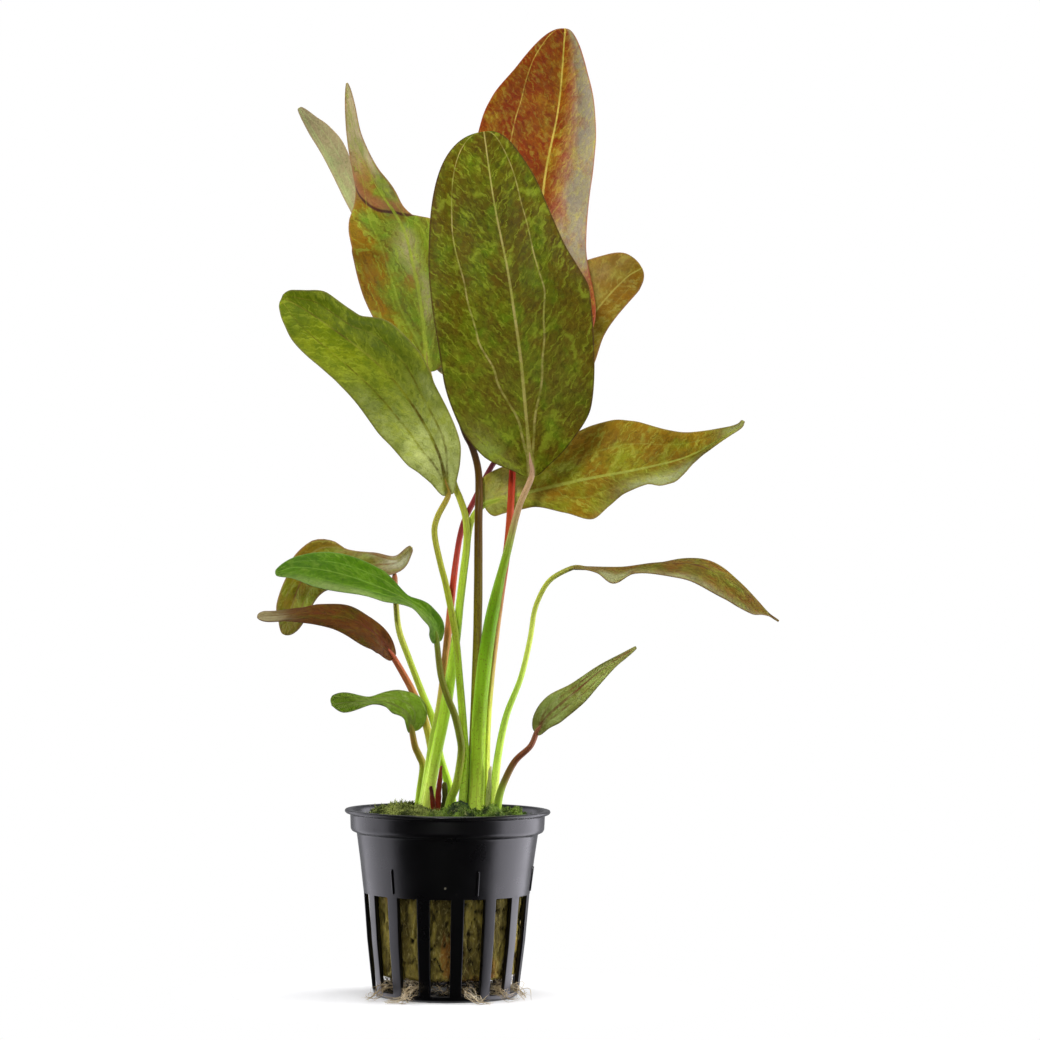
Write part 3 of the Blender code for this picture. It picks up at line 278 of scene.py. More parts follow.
# Where the side veins run in a blade that has no such stops of its own.
PLAIN_VEINS = [(0, 0.15, 0.15), (0.25, 0.42, 0.42), (0.6, 0.52, 0.52), (0.9, 0.5, 0.5), (1, 0.4, 0.4)]

# What is left of old leaves at the foot of the stems: route, radii and colour.
STUBS = {
    "old_stub_red": ([(-2.6, -5.6, STEM_FOOT), (-2.4, -5.8, 54), (-1.9, -6.2, 59.5), (-1.7, -6.3, 61.5)],
                     [0.9, 0.85, 0.7, 0.4], (118, 38, 22), (150, 70, 30)),
    "old_stub_brown": ([(-3.5, -8.2, STEM_FOOT), (-3.8, -8.3, 52), (-4.4, -8.4, 56.3)],
                       [0.8, 0.7, 0.45], (110, 36, 18), (70, 30, 16)),
    "old_stub_olive": ([(-1.1, -3.2, STEM_FOOT), (-0.6, -3.2, 52), (-0.9, -3.3, 57)],
                       [1.0, 0.9, 0.5], (70, 76, 24), (100, 100, 40)),
    "pale_sheath": ([(10.4, -6.6, STEM_FOOT), (10.9, -6.3, 54), (11.3, -6, 61.5)],
                    [0.8, 0.7, 0.35], (176, 190, 100), (196, 196, 130)),
}

# Roots that lie in the foot of the pot and come out between its bars.
ROOTS = {
    "root_left_a": [(-6, -11.5, 3.4), (-8.6, -16.6, 2.9), (-10.2, -20.2, 2.4), (-12, -22.4, 0.8),
                    (-15.5, -23.6, 0.6)],
    "root_left_b": [(-10.5, -9, 3.4), (-14.9, -12, 3.1), (-17.2, -14, 2.6), (-19.2, -15.6, 1.1),
                    (-20.4, -18.2, 0.6)],
    "root_left_c": [(-4, -14, 3.9), (-7.6, -16.6, 3.8), (-9.3, -19.2, 4.2), (-10.6, -22.6, 2.2),
                    (-9.4, -25.2, 0.7)],
    "root_front": [(1.8, -12, 2.4), (5.2, -16.8, 2.8), (7.2, -20.2, 2.4), (9, -22.2, 0.8),
                   (12.2, -22.6, 0.6)],
    "root_right_a": [(8.5, -9.2, 3.2), (13, -13.2, 3.1), (14.6, -15.2, 2.7), (16.2, -16.2, 1.2),
                     (18.4, -15.6, 0.7)],
    "root_right_b": [(11, -5, 3.2), (17.2, -6.6, 3.0), (19.4, -7.6, 2.6), (21, -8.6, 1.1),
                     (21.4, -10.6, 0.7)],
}

# The looks of each blade. Colours are as a screen shows them (0 to 255), in the order of COLOURS, and amounts
# in the order of AMOUNTS. Folded: the colours of the painted shade along the crease and of the band past it.
# Spots are (place, out of the midrib, reach along, reach out, kind, strength), kind 0 brown, 1 pale, 2 dark.
LOOKS = {
    "front": {
        "colours": [(92, 96, 2), (88, 70, 2), (84, 116, 4), (132, 144, 34), (134, 146, 70), (54, 48, 0),
                    (168, 154, 86), (66, 40, 22), (116, 120, 58)],
        "amounts": (0.42, 0.75, 0.6, 0.62, 0.3),
        "spots": [(0.98, 0.1, 0.05, 0.8, 0, 0.8), (0.84, -0.85, 0.14, 0.3, 0, 0.6),
                  (0.7, 0.28, 0.07, 0.25, 0, 0.9), (0.52, 0.9, 0.2, 0.25, 0, 0.8),
                  (0.32, 0.85, 0.16, 0.3, 0, 0.8), (0.45, -0.88, 0.12, 0.2, 2, 0.45),
                  (0.3, -0.25, 0.14, 0.16, 0, 0.5), (0.1, 0.12, 0.12, 0.12, 0, 1.1),
                  (0.1, -0.8, 0.1, 0.4, 1, 0.5), (0.82, 0.0, 0.3, 1.6, 2, 0.28),
                  (0.25, 0.1, 0.2, 1.2, 1, 0.12)]},
    "back_tall": {
        # Its pale colour and the pale spots over its right half are a painted sheen, where that half turns to
        # the light at a grazing angle.
        "colours": [(142, 88, 6), (124, 46, 0), (140, 126, 18), (160, 152, 50), (122, 112, 92), (88, 30, 0),
                    (204, 180, 80), (130, 56, 28), (140, 116, 80)],
        "amounts": (0.46, 0.6, 0.3, 0.6, 0.4), "pale_mottle": 0.55, "one_sided": True,
        "spots": [(0.95, 0.8, 0.16, 0.42, 1, 1.3), (0.8, 0.8, 0.2, 0.42, 1, 1.4),
                  (0.62, 0.8, 0.16, 0.42, 1, 1.4), (0.5, 0.75, 0.09, 0.5, 1, 1.3),
                  (0.32, 0.9, 0.11, 0.7, 0, 2.2), (0.85, -0.6, 0.2, 0.4, 0, 0.5),
                  (0.55, -0.8, 0.2, 0.3, 0, 0.6)]},
    "back_right": {
        "colours": [(127, 109, 24), (120, 84, 10), (134, 126, 36), (156, 150, 66), (146, 124, 78),
                    (104, 78, 16), (150, 138, 58), (134, 96, 60), (140, 126, 74)],
        "amounts": (0.42, 0.5, 0.4, 0.6, 0.4), "side_veins": 0.25,
        "spots": [(0.9, 0.3, 0.2, 0.6, 0, 0.6), (0.75, -0.6, 0.2, 0.5, 1, 0.6)]},
    "upper_left": {
        "colours": [(102, 112, 22), (124, 84, 4), (86, 122, 18), (134, 150, 44), (172, 154, 118), (78, 60, 8),
                    (138, 148, 44), (136, 96, 56), (140, 116, 84)],
        # The first folded colour is the painted shade along the crease.
        "folded": [(66, 34, 28), (134, 84, 56)],
        "amounts": (0.26, 0.6, 0.6, 0.3, 0.13), "side_veins": 0.55,
        "spots": [(0.4, -0.95, 0.3, 0.4, 0, 1.5), (0.14, -0.9, 0.2, 0.4, 0, 1.0),
                  (0.4, 0.0, 0.09, 0.24, 1, 0.6), (0.24, 0.14, 0.1, 0.16, 1, 0.5),
                  (0.12, 0.3, 0.1, 0.12, 2, 0.7), (0.68, -0.5, 0.12, 0.8, 0, 1.3),
                  (0.92, 0.0, 0.2, 1.5, 1, 1.3), (0.8, 0.8, 0.2, 0.7, 1, 1.1)]},
    "mid_left": {
        "colours": [(108, 118, 8), (82, 96, 2), (122, 132, 20), (150, 160, 42), (188, 196, 118), (78, 94, 14),
                    (82, 68, 14), (112, 108, 50), (134, 144, 78)],
        "amounts": (0.36, 0.5, 0.35, 0.5, 0.25),
        "spots": [(0.78, 0.8, 0.3, 0.5, 0, 1.2), (0.98, 0.0, 0.14, 1.2, 0, 1.2),
                  (0.0, 0.0, 0.34, 1.8, 1, 1.5), (0.36, -0.9, 0.26, 0.4, 1, 0.5),
                  (0.38, 0.75, 0.1, 0.3, 1, 0.5), (0.8, 0.9, 0.25, 0.4, 2, 0.4)]},
    "far_left": {
        "colours": [(156, 160, 106), (156, 142, 104), (160, 168, 112), (172, 180, 122), (166, 160, 118),
                    (132, 132, 84), (160, 166, 108), (158, 136, 104), (146, 150, 100)],
        "amounts": (0.42, 0.4, 0.3, 0.3, 0.4),
        "spots": [(0.8, 0.8, 0.25, 0.6, 0, 1.2)]},
    "right_wavy": {
        "colours": [(122, 120, 16), (126, 92, 8), (114, 128, 22), (150, 154, 54), (150, 154, 104),
                    (82, 70, 2), (146, 152, 62), (122, 104, 48), (126, 128, 66)],
        "amounts": (0.36, 0.7, 0.5, 0.6, 0.3), "side_veins": 0.35,
        "spots": [(0.55, -0.8, 0.24, 0.4, 0, 1.3), (0.35, 0.3, 0.16, 0.4, 0, 0.6),
                  (0.46, 0.6, 0.12, 0.4, 0, 0.5), (0.84, -0.4, 0.12, 0.8, 0, 0.5),
                  (0.98, 0.0, 0.08, 1.5, 1, 1.0), (0.06, 0.0, 0.12, 1.0, 1, 0.6),
                  (0.66, 0.9, 0.18, 0.5, 1, 1.3), (0.36, 1.0, 0.07, 0.2, 0, 1.2)]},
    "low_left_green": {
        "colours": [(71, 106, 6), (58, 94, 2), (80, 116, 14), (102, 128, 42), (118, 136, 74), (52, 82, 6),
                    (96, 130, 40), (98, 122, 60), (104, 122, 66)],
        "amounts": (0.42, 0.6, 0.4, 0.6, 0.4),
        "spots": [(0.66, -0.95, 0.4, 0.35, 1, 1.0), (0.97, 0.0, 0.08, 1.2, 2, 0.5),
                  (0.2, -0.6, 0.15, 0.6, 1, 0.7)]},
    "low_left_red": {
        "colours": [(70, 54, 2), (86, 44, 6), (76, 70, 4), (98, 84, 18), (140, 130, 94), (46, 28, 0),
                    (78, 34, 16), (86, 48, 22), (138, 122, 96)],
        "amounts": (0.44, 0.5, 0.3, 0.5, 0.4),
        "spots": [(0.06, 0.0, 0.16, 1.5, 0, 1.2), (0.1, -0.8, 0.24, 0.5, 0, 1.4),
                  (0.97, 0.0, 0.15, 1.6, 1, 1.6)]},
    "low_left_back": {
        "colours": [(104, 108, 14), (114, 88, 12), (96, 116, 16), (140, 146, 64), (168, 166, 136),
                    (84, 76, 14), (112, 74, 40), (136, 104, 76), (146, 146, 104)],
        "amounts": (0.4, 0.55, 0.4, 0.5, 0.4),
        "spots": [(0.06, 0.3, 0.12, 1.6, 1, 1.4), (0.24, 0.3, 0.14, 0.4, 1, 1.0),
                  (0.3, 1.0, 0.14, 0.5, 0, 1.4), (0.44, -0.95, 0.14, 0.3, 1, 1.4),
                  (0.5, 0.8, 0.1, 0.4, 0, 1.0)]},
    "lowest_left": {
        "colours": [(133, 164, 50), (112, 146, 32), (146, 166, 70), (166, 182, 102), (138, 152, 88),
                    (80, 96, 22), (104, 116, 48), (120, 134, 70), (126, 146, 82)],
        "amounts": (0.38, 0.5, 0.4, 0.4, 0.4),
        "spots": [(0.9, 0.0, 0.2, 1.4, 0, 0.5)]},
    "low_right_long": {
        "colours": [(90, 76, 18), (104, 66, 18), (84, 98, 20), (122, 124, 46), (140, 140, 98), (60, 48, 10),
                    (74, 42, 24), (112, 84, 50), (116, 128, 62)],
        "amounts": (0.42, 0.7, 0.4, 0.4, 0.4),
        "spots": [(0.6, 1.1, 0.5, 0.34, 1, 1.2), (0.2, 1.0, 0.1, 0.5, 1, 1.5),
                  (0.08, 0.0, 0.08, 1.4, 1, 0.4)]},
    "low_right_small": {
        "colours": [(138, 152, 72), (124, 128, 56), (150, 166, 92), (162, 176, 106), (146, 156, 96),
                    (110, 108, 46), (112, 70, 44), (118, 112, 62), (136, 152, 88)],
        "amounts": (0.38, 0.5, 0.5, 0.4, 0.4),
        "spots": [(0.06, 0.0, 0.1, 1.5, 0, 0.9)]},
}

# The colours of each stem from foot to top, and how dense the darker streaks are on the more speckled ones.
STEM_LOOKS = {
    "front": [(205, 232, 84), (172, 211, 52), (140, 187, 34), (111, 160, 22), (121, 156, 30), (172, 142, 100),
              (178, 140, 116)],
    "back_tall": [(205, 227, 80), (187, 198, 66), (185, 146, 76), (171, 75, 36), (156, 37, 14),
                  (150, 42, 22)],
    "back_right": [(187, 224, 76), (176, 205, 70), (192, 144, 76), (171, 54, 26), (114, 37, 38), (89, 37, 50),
                   (89, 42, 44)],
    "upper_left": [(209, 232, 96), (176, 216, 56), (164, 205, 50), (156, 184, 50), (152, 156, 46),
                   (141, 125, 40), (139, 131, 52)],
    "mid_left": [(198, 231, 84), (167, 207, 48), (150, 184, 40), (158, 170, 42), (150, 152, 46),
                 (142, 110, 46)],
    "far_left": [(168, 186, 60), (132, 134, 30), (110, 98, 14), (82, 58, 2), (34, 12, 0), (28, 8, 0)],
    "right_wavy": [(205, 232, 90), (176, 216, 52), (166, 207, 52), (156, 188, 50), (146, 166, 46),
                   (135, 152, 46)],
    "low_left_green": [(176, 216, 70), (143, 165, 46), (120, 135, 36), (111, 120, 32), (116, 121, 36),
                       (100, 135, 34)],
    "low_left_red": [(187, 218, 70), (165, 196, 54), (164, 170, 54), (178, 133, 60), (177, 100, 60),
                     (166, 77, 56)],
    "low_left_back": [(187, 224, 70), (165, 200, 52), (157, 190, 50), (167, 186, 60), (171, 177, 70),
                      (156, 87, 56)],
    "lowest_left": [(187, 218, 70), (167, 196, 52), (153, 172, 48), (160, 146, 52), (164, 131, 58),
                    (135, 135, 50)],
    "low_right_long": [(220, 232, 110), (196, 232, 84), (187, 225, 80), (203, 220, 92), (173, 183, 66),
                       (116, 96, 46)],
    "low_right_small": [(165, 205, 60), (143, 172, 54), (129, 105, 50), (133, 79, 50), (144, 89, 62),
                        (162, 108, 80)],
}
PLAIN_STREAKS, STUB_STREAKS = 0.35, 0.6
STREAKS = {"far_left": 0.7, "front": 0.45, "mid_left": 0.55, "low_left_green": 0.6}
STREAK_COLOUR, DARK_STREAK_COLOUR, STUB_STREAK_COLOUR = (104, 54, 26), (60, 30, 16), (50, 22, 10)


def smooth_route(points, places):
    """Points at the given shares of the length of a smooth curve through the points."""
    p = np.array(points, float)
    p = np.vstack([2 * p[0] - p[1], p, 2 * p[-1] - p[-2]])
    dense = [p[1]]
    for a, b, c, d in zip(p, p[1:], p[2:], p[3:]):
        for t in np.linspace(0, 1, 25)[1:]:
            bend = (2 * a - 5 * b + 4 * c - d) * t * t + (3 * b - a - 3 * c + d) * t ** 3
            dense.append(0.5 * (2 * b + (c - a) * t + bend))
    dense = np.array(dense)
    run = np.concatenate([[0], np.cumsum(np.linalg.norm(np.diff(dense, axis=0), axis=1))])
    wanted = np.asarray(places) * run[-1]
    return np.stack([np.interp(wanted, run, dense[:, k]) for k in range(3)], 1), run[-1]


def eased_stops(stops, place):
    """The values between two stops, eased from one to the next."""
    for low, high in zip(stops, stops[1:]):
        if place <= high[0]:
            t = max(0.0, (place - low[0]) / (high[0] - low[0]))
            t = t * t * (3 - 2 * t)
            return [a + (b - a) * t for a, b in zip(low[1:], high[1:])]
    return list(stops[-1][1:])


def half_widths(stops, places):
    """Both half widths at each place, on a smooth curve that stays between the stops."""
    stops = np.array(stops, float)
    x = np.arccos(1 - 2 * stops[:, 0])
    wanted = np.arccos(1 - 2 * np.asarray(places))
    gap = np.diff(x)
    k = np.clip(np.searchsorted(x, wanted) - 1, 0, len(x) - 2)
    t = (wanted - x[k]) / gap[k]
    both = []
    for y in (stops[:, 1], stops[:, 2]):
        rise = np.diff(y) / gap
        slope = np.concatenate([[rise[0]], np.zeros(len(x) - 2), [rise[-1]]])
        for n in range(1, len(x) - 1):
            if rise[n - 1] * rise[n] > 0:
                slope[n] = 2 * rise[n - 1] * rise[n] / (rise[n - 1] + rise[n])
        both.append((1 + 2 * t) * (1 - t) ** 2 * y[k] + t * (1 - t) ** 2 * gap[k] * slope[k]
                    + t * t * (3 - 2 * t) * y[k + 1] + t * t * (t - 1) * gap[k] * slope[k + 1])
    return both


def mesh_of(name, shape):
    """The mesh of a shape, which isn't needed after it."""
    mesh = bpy.data.meshes.new(name)
    shape.to_mesh(mesh)
    shape.free()
    return mesh


def put_in_scene(name, data):
    """A new object of the scene, at the origin."""
    thing = bpy.data.objects.new(name, data)
    bpy.context.scene.collection.objects.link(thing)
    return thing


def keep_piece(name, mesh, material, nodes=()):
    """Makes a piece of the object from a mesh or a shape whose points are already in place, in metres."""
    if isinstance(mesh, bmesh.types.BMesh):
        mesh = mesh_of(name, mesh)
    mesh.polygons.foreach_set("use_smooth", [True] * len(mesh.polygons))
    mesh.materials.append(material)
    piece = put_in_scene(name, mesh)
    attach(piece, "root")
    if nodes:
        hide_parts(*nodes)
    return piece


def screen(rgb):
    """A colour given as a screen shows it, as the shader's linear one."""
    return tuple((c / 255 / 12.92 if c <= 10 else ((c / 255 + 0.055) / 1.055) ** 2.4) for c in rgb) + (1.0,)


def add_node(tree, kind, inputs=None, **settings):
    """A new node with its settings, and with its inputs linked or given plain values."""
    made = tree.nodes.new("ShaderNode" + kind)
    for key, value in settings.items():
        setattr(made, key, value)
    for key, value in (inputs or {}).items():
        value = value.socket if isinstance(value, Value) else value
        if isinstance(value, bpy.types.NodeSocket):
            tree.links.new(value, made.inputs[key])
        else:
            made.inputs[key].default_value = value
    return made


class Value:
    """What a node puts out. Arithmetic with it makes math nodes, or vector math nodes for a vector."""

    def __init__(self, socket, kind="Math"):
        self.socket, self.kind, self.tree = socket, kind, socket.id_data

    def math(self, how, other=0.0):
        """One step of arithmetic, by the name that the math node has for it."""
        return Value(add_node(self.tree, self.kind, {0: self, 1: other}, operation=how).outputs[0], self.kind)

    def __add__(self, other):
        return self.math("ADD", other)

    def __sub__(self, other):
        return self.math("SUBTRACT", other)

    def __rsub__(self, other):
        return self * -1.0 + other

    def __mul__(self, other):
        return self.math("MULTIPLY", other)

    def __truediv__(self, other):
        return self.math("DIVIDE", other)

    def __abs__(self):
        return self.math("ABSOLUTE")

    def fade(self, low, high, out_low=0.0, out_high=1.0):
        """Eased from out_low at low to out_high at high."""
        inputs = {"Value": self, "From Min": low, "From Max": high, "To Min": out_low, "To Max": out_high}
        eased = add_node(self.tree, "MapRange", inputs, interpolation_type="SMOOTHSTEP")
        return Value(eased.outputs["Result"])

    def cloud(self, scale, detail=3.0, rough=0.55, output="Fac"):
        """Noise at these places."""
        inputs = {"Vector": self, "Scale": scale, "Detail": detail, "Roughness": rough}
        made = add_node(self.tree, "TexNoise", inputs).outputs[output]
        return Value(made, "Math" if output == "Fac" else "VectorMath")

    def parts(self):
        """The three numbers of a vector."""
        return [Value(socket) for socket in add_node(self.tree, "SeparateXYZ", {0: self}).outputs]


def mixed(share, a, b, blend="MIX"):
    """A colour between two others."""
    tree = next(value.tree for value in (share, a) if isinstance(value, Value))
    return Value(add_node(tree, "Mix", {0: share, 6: a, 7: b}, data_type="RGBA", blend_type=blend).outputs[2])


def tinted(colour, tone):
    """A colour made darker or lighter."""
    grey = add_node(colour.tree, "CombineColor", {0: tone, 1: tone, 2: tone}).outputs[0]
    return mixed(1.0, colour, grey, "MULTIPLY")


def combined(tree, x, y, z):
    """A vector from three numbers."""
    return Value(add_node(tree, "CombineXYZ", {0: x, 1: y, 2: z}).outputs[0], "VectorMath")


def carried(tree, name):
    """What each point of a mesh carries under a name, as a vector."""
    return Value(add_node(tree, "Attribute", attribute_name=name).outputs["Vector"], "VectorMath")


def link_to(inputs, values):
    """Links values to the inputs of the same names."""
    for label, value in values.items():
        value.tree.links.new(value.socket, inputs[label])


def show_mix(tree, share, a, b, output="Material Output"):
    """Puts a mix of what two shaders give on the tree's output."""
    both = add_node(tree, "MixShader", {0: share, 1: a.outputs[0], 2: b.outputs[0]}).outputs[0]
    tree.links.new(both, tree.nodes[output].inputs["Surface"])


def colour_ramp(tree, share, stops, way="LINEAR"):
    """A colour that runs from stop to stop: places, and colours as a screen shows them."""
    made = add_node(tree, "ValToRGB", {"Fac": share})
    made.color_ramp.interpolation = way
    elements = made.color_ramp.elements
    for n, (at, rgb) in enumerate(stops):
        stop = elements[n] if n < 2 else elements.new(at)
        stop.position, stop.color = at, screen(rgb)
    return Value(made.outputs["Color"])


def new_group(name, colours, amounts):
    """A node group that turns colours and amounts into a surface's colour, roughness and height."""
    group = bpy.data.node_groups.new(name, "ShaderNodeTree")
    for labels, kind in ((colours, "Color"), (amounts, "Float")):
        for label in labels:
            group.interface.new_socket(label, in_out="INPUT", socket_type="NodeSocket" + kind)
    for label, kind in (("Colour", "Color"), ("Roughness", "Float"), ("Height", "Float")):
        group.interface.new_socket(label, in_out="OUTPUT", socket_type="NodeSocket" + kind)
    given = group.nodes.new("NodeGroupInput").outputs
    given = {label: Value(given[label]) for label in (*colours, *amounts)}
    return group, given, group.nodes.new("NodeGroupOutput").inputs


def new_material(name):
    """A new material, its node tree and its shader."""
    material = bpy.data.materials.new(name)
    material.use_nodes = True
    return material, material.node_tree, material.node_tree.nodes["Principled BSDF"]


def finish_skin(shader, colour, roughness, height, depth, strength, gloss):
    """Gives a shader its colour, roughness, small relief (how deep in metres, how strong) and gloss."""
    bump = add_node(colour.tree, "Bump", {"Height": height, "Distance": depth, "Strength": strength})
    relief = Value(bump.outputs["Normal"])
    link_to(shader.inputs, {"Base Color": colour, "Roughness": roughness, "Normal": relief})
    shader.inputs["Specular IOR Level"].default_value = gloss


def object_places(tree):
    """Where a point of the surface lies, in the object's own coordinates."""
    return Value(add_node(tree, "TexCoord").outputs["Object"], "VectorMath")


def leaf_skin_group():
    """The markings of a blade, from the distances that each blade's points carry."""
    tree, given, result = new_group("leaf_skin", COLOURS, AMOUNTS)
    flat, veins, place, zones, crease = (carried(tree, name) for name in CARRIED)
    reach, along, under = flat.parts()
    from_middle, from_first, from_second = veins.parts()
    share, _, inside = place.parts()
    brown, pale, dark = zones.parts()
    past, seed = crease.parts()[0], given["Seed"]

    # Places on the blade in centimetres, shifted about a little so that no marking is regular.
    spread = flat * (0.1, 0.1, 0.0) + combined(tree, seed, seed, under)
    drift = spread.cloud(1.6, 2.0, 0.5, "Color") - (0.5, 0.5, 0.5)
    wander = spread + drift * (0.6, 0.6, 0.0)
    fret = (spread.cloud(7.0, 2.0, 0.55, "Color") - (0.5, 0.5, 0.5)) * (0.22, 0.22, 0.0)
    fretted = wander + fret

    # The same places turned so that one axis follows the fine veins, which slant outwards from the midrib.
    out, sine, cosine = abs(reach), given["Slant"].math("SINE"), given["Slant"].math("COSINE")
    off, run = out * cosine - along * sine, out * sine + along * cosine
    slanted = combined(tree, off, run, reach.math("SIGN") + seed) * (0.1, 0.1, 1.0) + fret
    strokes = (slanted * combined(tree, 1.0, given["Run"], 1.0)).cloud(14.0, 2.0, 0.5)

    # Broad soft patches, green mottles among them and pale parts.
    broad = (fretted * (1.0, 0.75, 1.0)).cloud(1.7)
    patch = (broad + given["Patch Amount"] + brown * 0.32 - 0.9).fade(-0.16, 0.16)
    clusters = fretted.cloud(2.2, 4.0, 0.6).fade(0.38, 0.7) * (1.0 - patch * 0.7)
    pale = pale * fretted.cloud(2.0, 3.0, 0.6).fade(0.3, 0.7, 0.6, 1.35)
    pale = Value(add_node(tree, "Clamp", {"Value": pale}).outputs[0])
    colour = mixed(patch, given["Ground"], given["Patch"])
    colour = mixed(clusters * given["Net Amount"], colour, given["Net"])
    colour = mixed(pale, colour, mixed(clusters * given["Pale Mottle"], given["Pale"], given["Bright"]))

    # Short curly strokes, darker and lighter than what they run over, and longer fine veins.
    deep = strokes.fade(0.33, 0.48, 1.0, 0.0) * (0.5 - pale * 0.36)
    colour = mixed(deep + dark * 0.75, colour, given["Dark"])
    light = strokes.fade(0.52, 0.67) * clusters.fade(0.0, 1.0, 0.38, 1.0)
    colour = mixed(light * given["Net Amount"], colour, given["Bright"])
    cells = {"Vector": slanted * (1.0, 0.16, 1.0), "Scale": 3.6}
    cells = add_node(tree, "TexVoronoi", cells, feature="DISTANCE_TO_EDGE").outputs["Distance"]
    lines = Value(cells).fade(0.012, 0.075, 1.0, 0.0)
    faint = lines * spread.cloud(3.0, 2.0).fade(0.4, 0.58) * given["Fine Amount"]
    colour = mixed(faint, colour, given["Bright"])
    grain = (slanted * (1.0, 0.6, 1.0)).cloud(24.0, 2.0, 0.6)
    colour = mixed(grain.fade(0.6, 0.7, 0.0, 0.55), colour, given["Dark"])
    band = abs(past - 2.2).fade(0.8, 3.4, 0.9, 0.0) * strokes.fade(0.3, 0.7, 0.55, 1.0)
    colour = mixed(band, colour, given["Band"])
    # Painted shade: a dark line along the crease, where the folded part shades the blade.
    colour = mixed(abs(past).fade(0.2, 0.75, 0.92, 0.0), colour, given["Crease Shade"])

    # The midrib and the two side veins, finer towards the tip.
    taper = share.fade(0.0, 1.0, 1.0, 0.4)
    stout = taper + share.fade(0.0, 0.14, 1.2, 0.0)
    middle = (abs(from_middle) / (stout * 0.6)).fade(0.45, 1.2, 1.0, 0.0)
    side = abs(from_first).math("MINIMUM", abs(from_second)) / (taper * 0.42)
    side = side.fade(0.35, 1.2, 0.9, 0.0) * spread.cloud(3.5, 2.0).fade(0.34, 0.6, 0.35, 1.0)
    vein = middle.math("MAXIMUM", side * given["Side Veins"])
    tint = mixed(spread.cloud(1.3, 2.0).fade(0.4, 0.62, 0.0, 0.55), given["Vein"], given["Bright"])
    colour = mixed(vein * spread.cloud(6.0, 2.0).fade(0.3, 0.6, 0.62, 0.92), colour, tint)

    colour = mixed(inside.fade(0.1, 0.65, 0.7, 0.0), colour, given["Rim"])
    colour = mixed(under * 0.55, colour, given["Under"])
    tone = grain.fade(0.25, 0.75, 0.82, 1.18) * spread.cloud(0.8, 2.0).fade(0.3, 0.7, 0.88, 1.12)
    height = lines * -0.2 + strokes * 0.5 + wander.cloud(5.0) * 0.9 + grain * 0.2 + vein * 0.15
    roughness = grain.fade(0.2, 0.8, 0.4, 0.6)
    link_to(result, {"Colour": tinted(colour, tone), "Roughness": roughness, "Height": height})
    return tree


def stem_skin_group():
    """Streaks and speckles along a stem, over colours that change from foot to top."""
    tree, given, result = new_group("stem_skin", ("Along", "Streak"), ("Streak Amount", "Seed"))
    skin = carried(tree, "skin") + combined(tree, *[given["Seed"]] * 3)
    streaks = (skin * (1.0, 1.0, 0.06)).cloud(2.4, 3.0, 0.6)
    dots = (skin * (1.0, 1.0, 0.5)).cloud(4.5, 2.0, 0.5)
    marks = (streaks.fade(0.5, 0.66) * 0.6).math("MAXIMUM", dots.fade(0.57, 0.66)) * given["Streak Amount"]
    shade = (skin * (0.5, 0.5, 0.04)).cloud(1.3, 2.0, 0.5).fade(0.25, 0.75, 0.78, 1.18)
    colour = tinted(mixed(marks, given["Along"], given["Streak"]), shade)
    roughness = streaks.fade(0.2, 0.8, 0.3, 0.46)
    link_to(result, {"Colour": colour, "Roughness": roughness, "Height": streaks + dots * 0.3})
    return tree


def finish_green(tree, shader, skin, depth, strength, gloss, through):
    """Puts a leaf's or a stem's skin on its shader, which lets some of the light through."""
    colour, roughness, height = (Value(socket) for socket in skin.outputs)
    finish_skin(shader, colour, roughness, height, depth, strength, gloss)
    show_mix(tree, through, shader, add_node(tree, "BsdfTranslucent", {"Color": colour}))


def leaf_material(name, looks, group, seed):
    """The skin of one blade, with its own colours and markings."""
    material, tree, shader = new_material(name + "_leaf_skin")
    colours = looks["colours"] + looks.get("folded", [looks["colours"][COLOURS.index("Dark")]] * 2)
    mottle, sides = looks.get("pale_mottle", PLAIN_MOTTLE), looks.get("side_veins", PLAIN_SIDE_VEINS)
    amounts = (*looks["amounts"], mottle, sides, seed)
    inputs = {**dict(zip(COLOURS, map(screen, colours))), **dict(zip(AMOUNTS, amounts))}
    skin = add_node(tree, "Group", inputs, node_tree=group)
    finish_green(tree, shader, skin, 0.00022, 0.8, 0.06, 0.16)
    return material


def stem_material(name, colours, group, seed, streak, amount):
    """The skin of one stem, in colours from its foot to its top."""
    material, tree, shader = new_material(name + "_stem_skin")
    stops = [(n / (len(colours) - 1), rgb) for n, rgb in enumerate(colours)]
    along = colour_ramp(tree, carried(tree, "share").parts()[0], stops, "EASE")
    inputs = {"Along": along, "Streak": screen(streak), "Streak Amount": amount, "Seed": seed}
    finish_green(tree, shader, add_node(tree, "Group", inputs, node_tree=group), 0.00018, 0.7, 0.12, 0.12)
    return material


def columns_across(count, crowding):
    """Where the columns of a blade lie: -1 and 1 are the margins, -0.5 and 0.5 the side veins."""
    s = np.linspace(0, 1, count + 1)
    half = (s - crowding * np.sin(math.tau * s) / math.tau) * 0.5
    right = np.concatenate([half, 0.5 + half[1:]])
    return np.concatenate([-right[:0:-1], right])


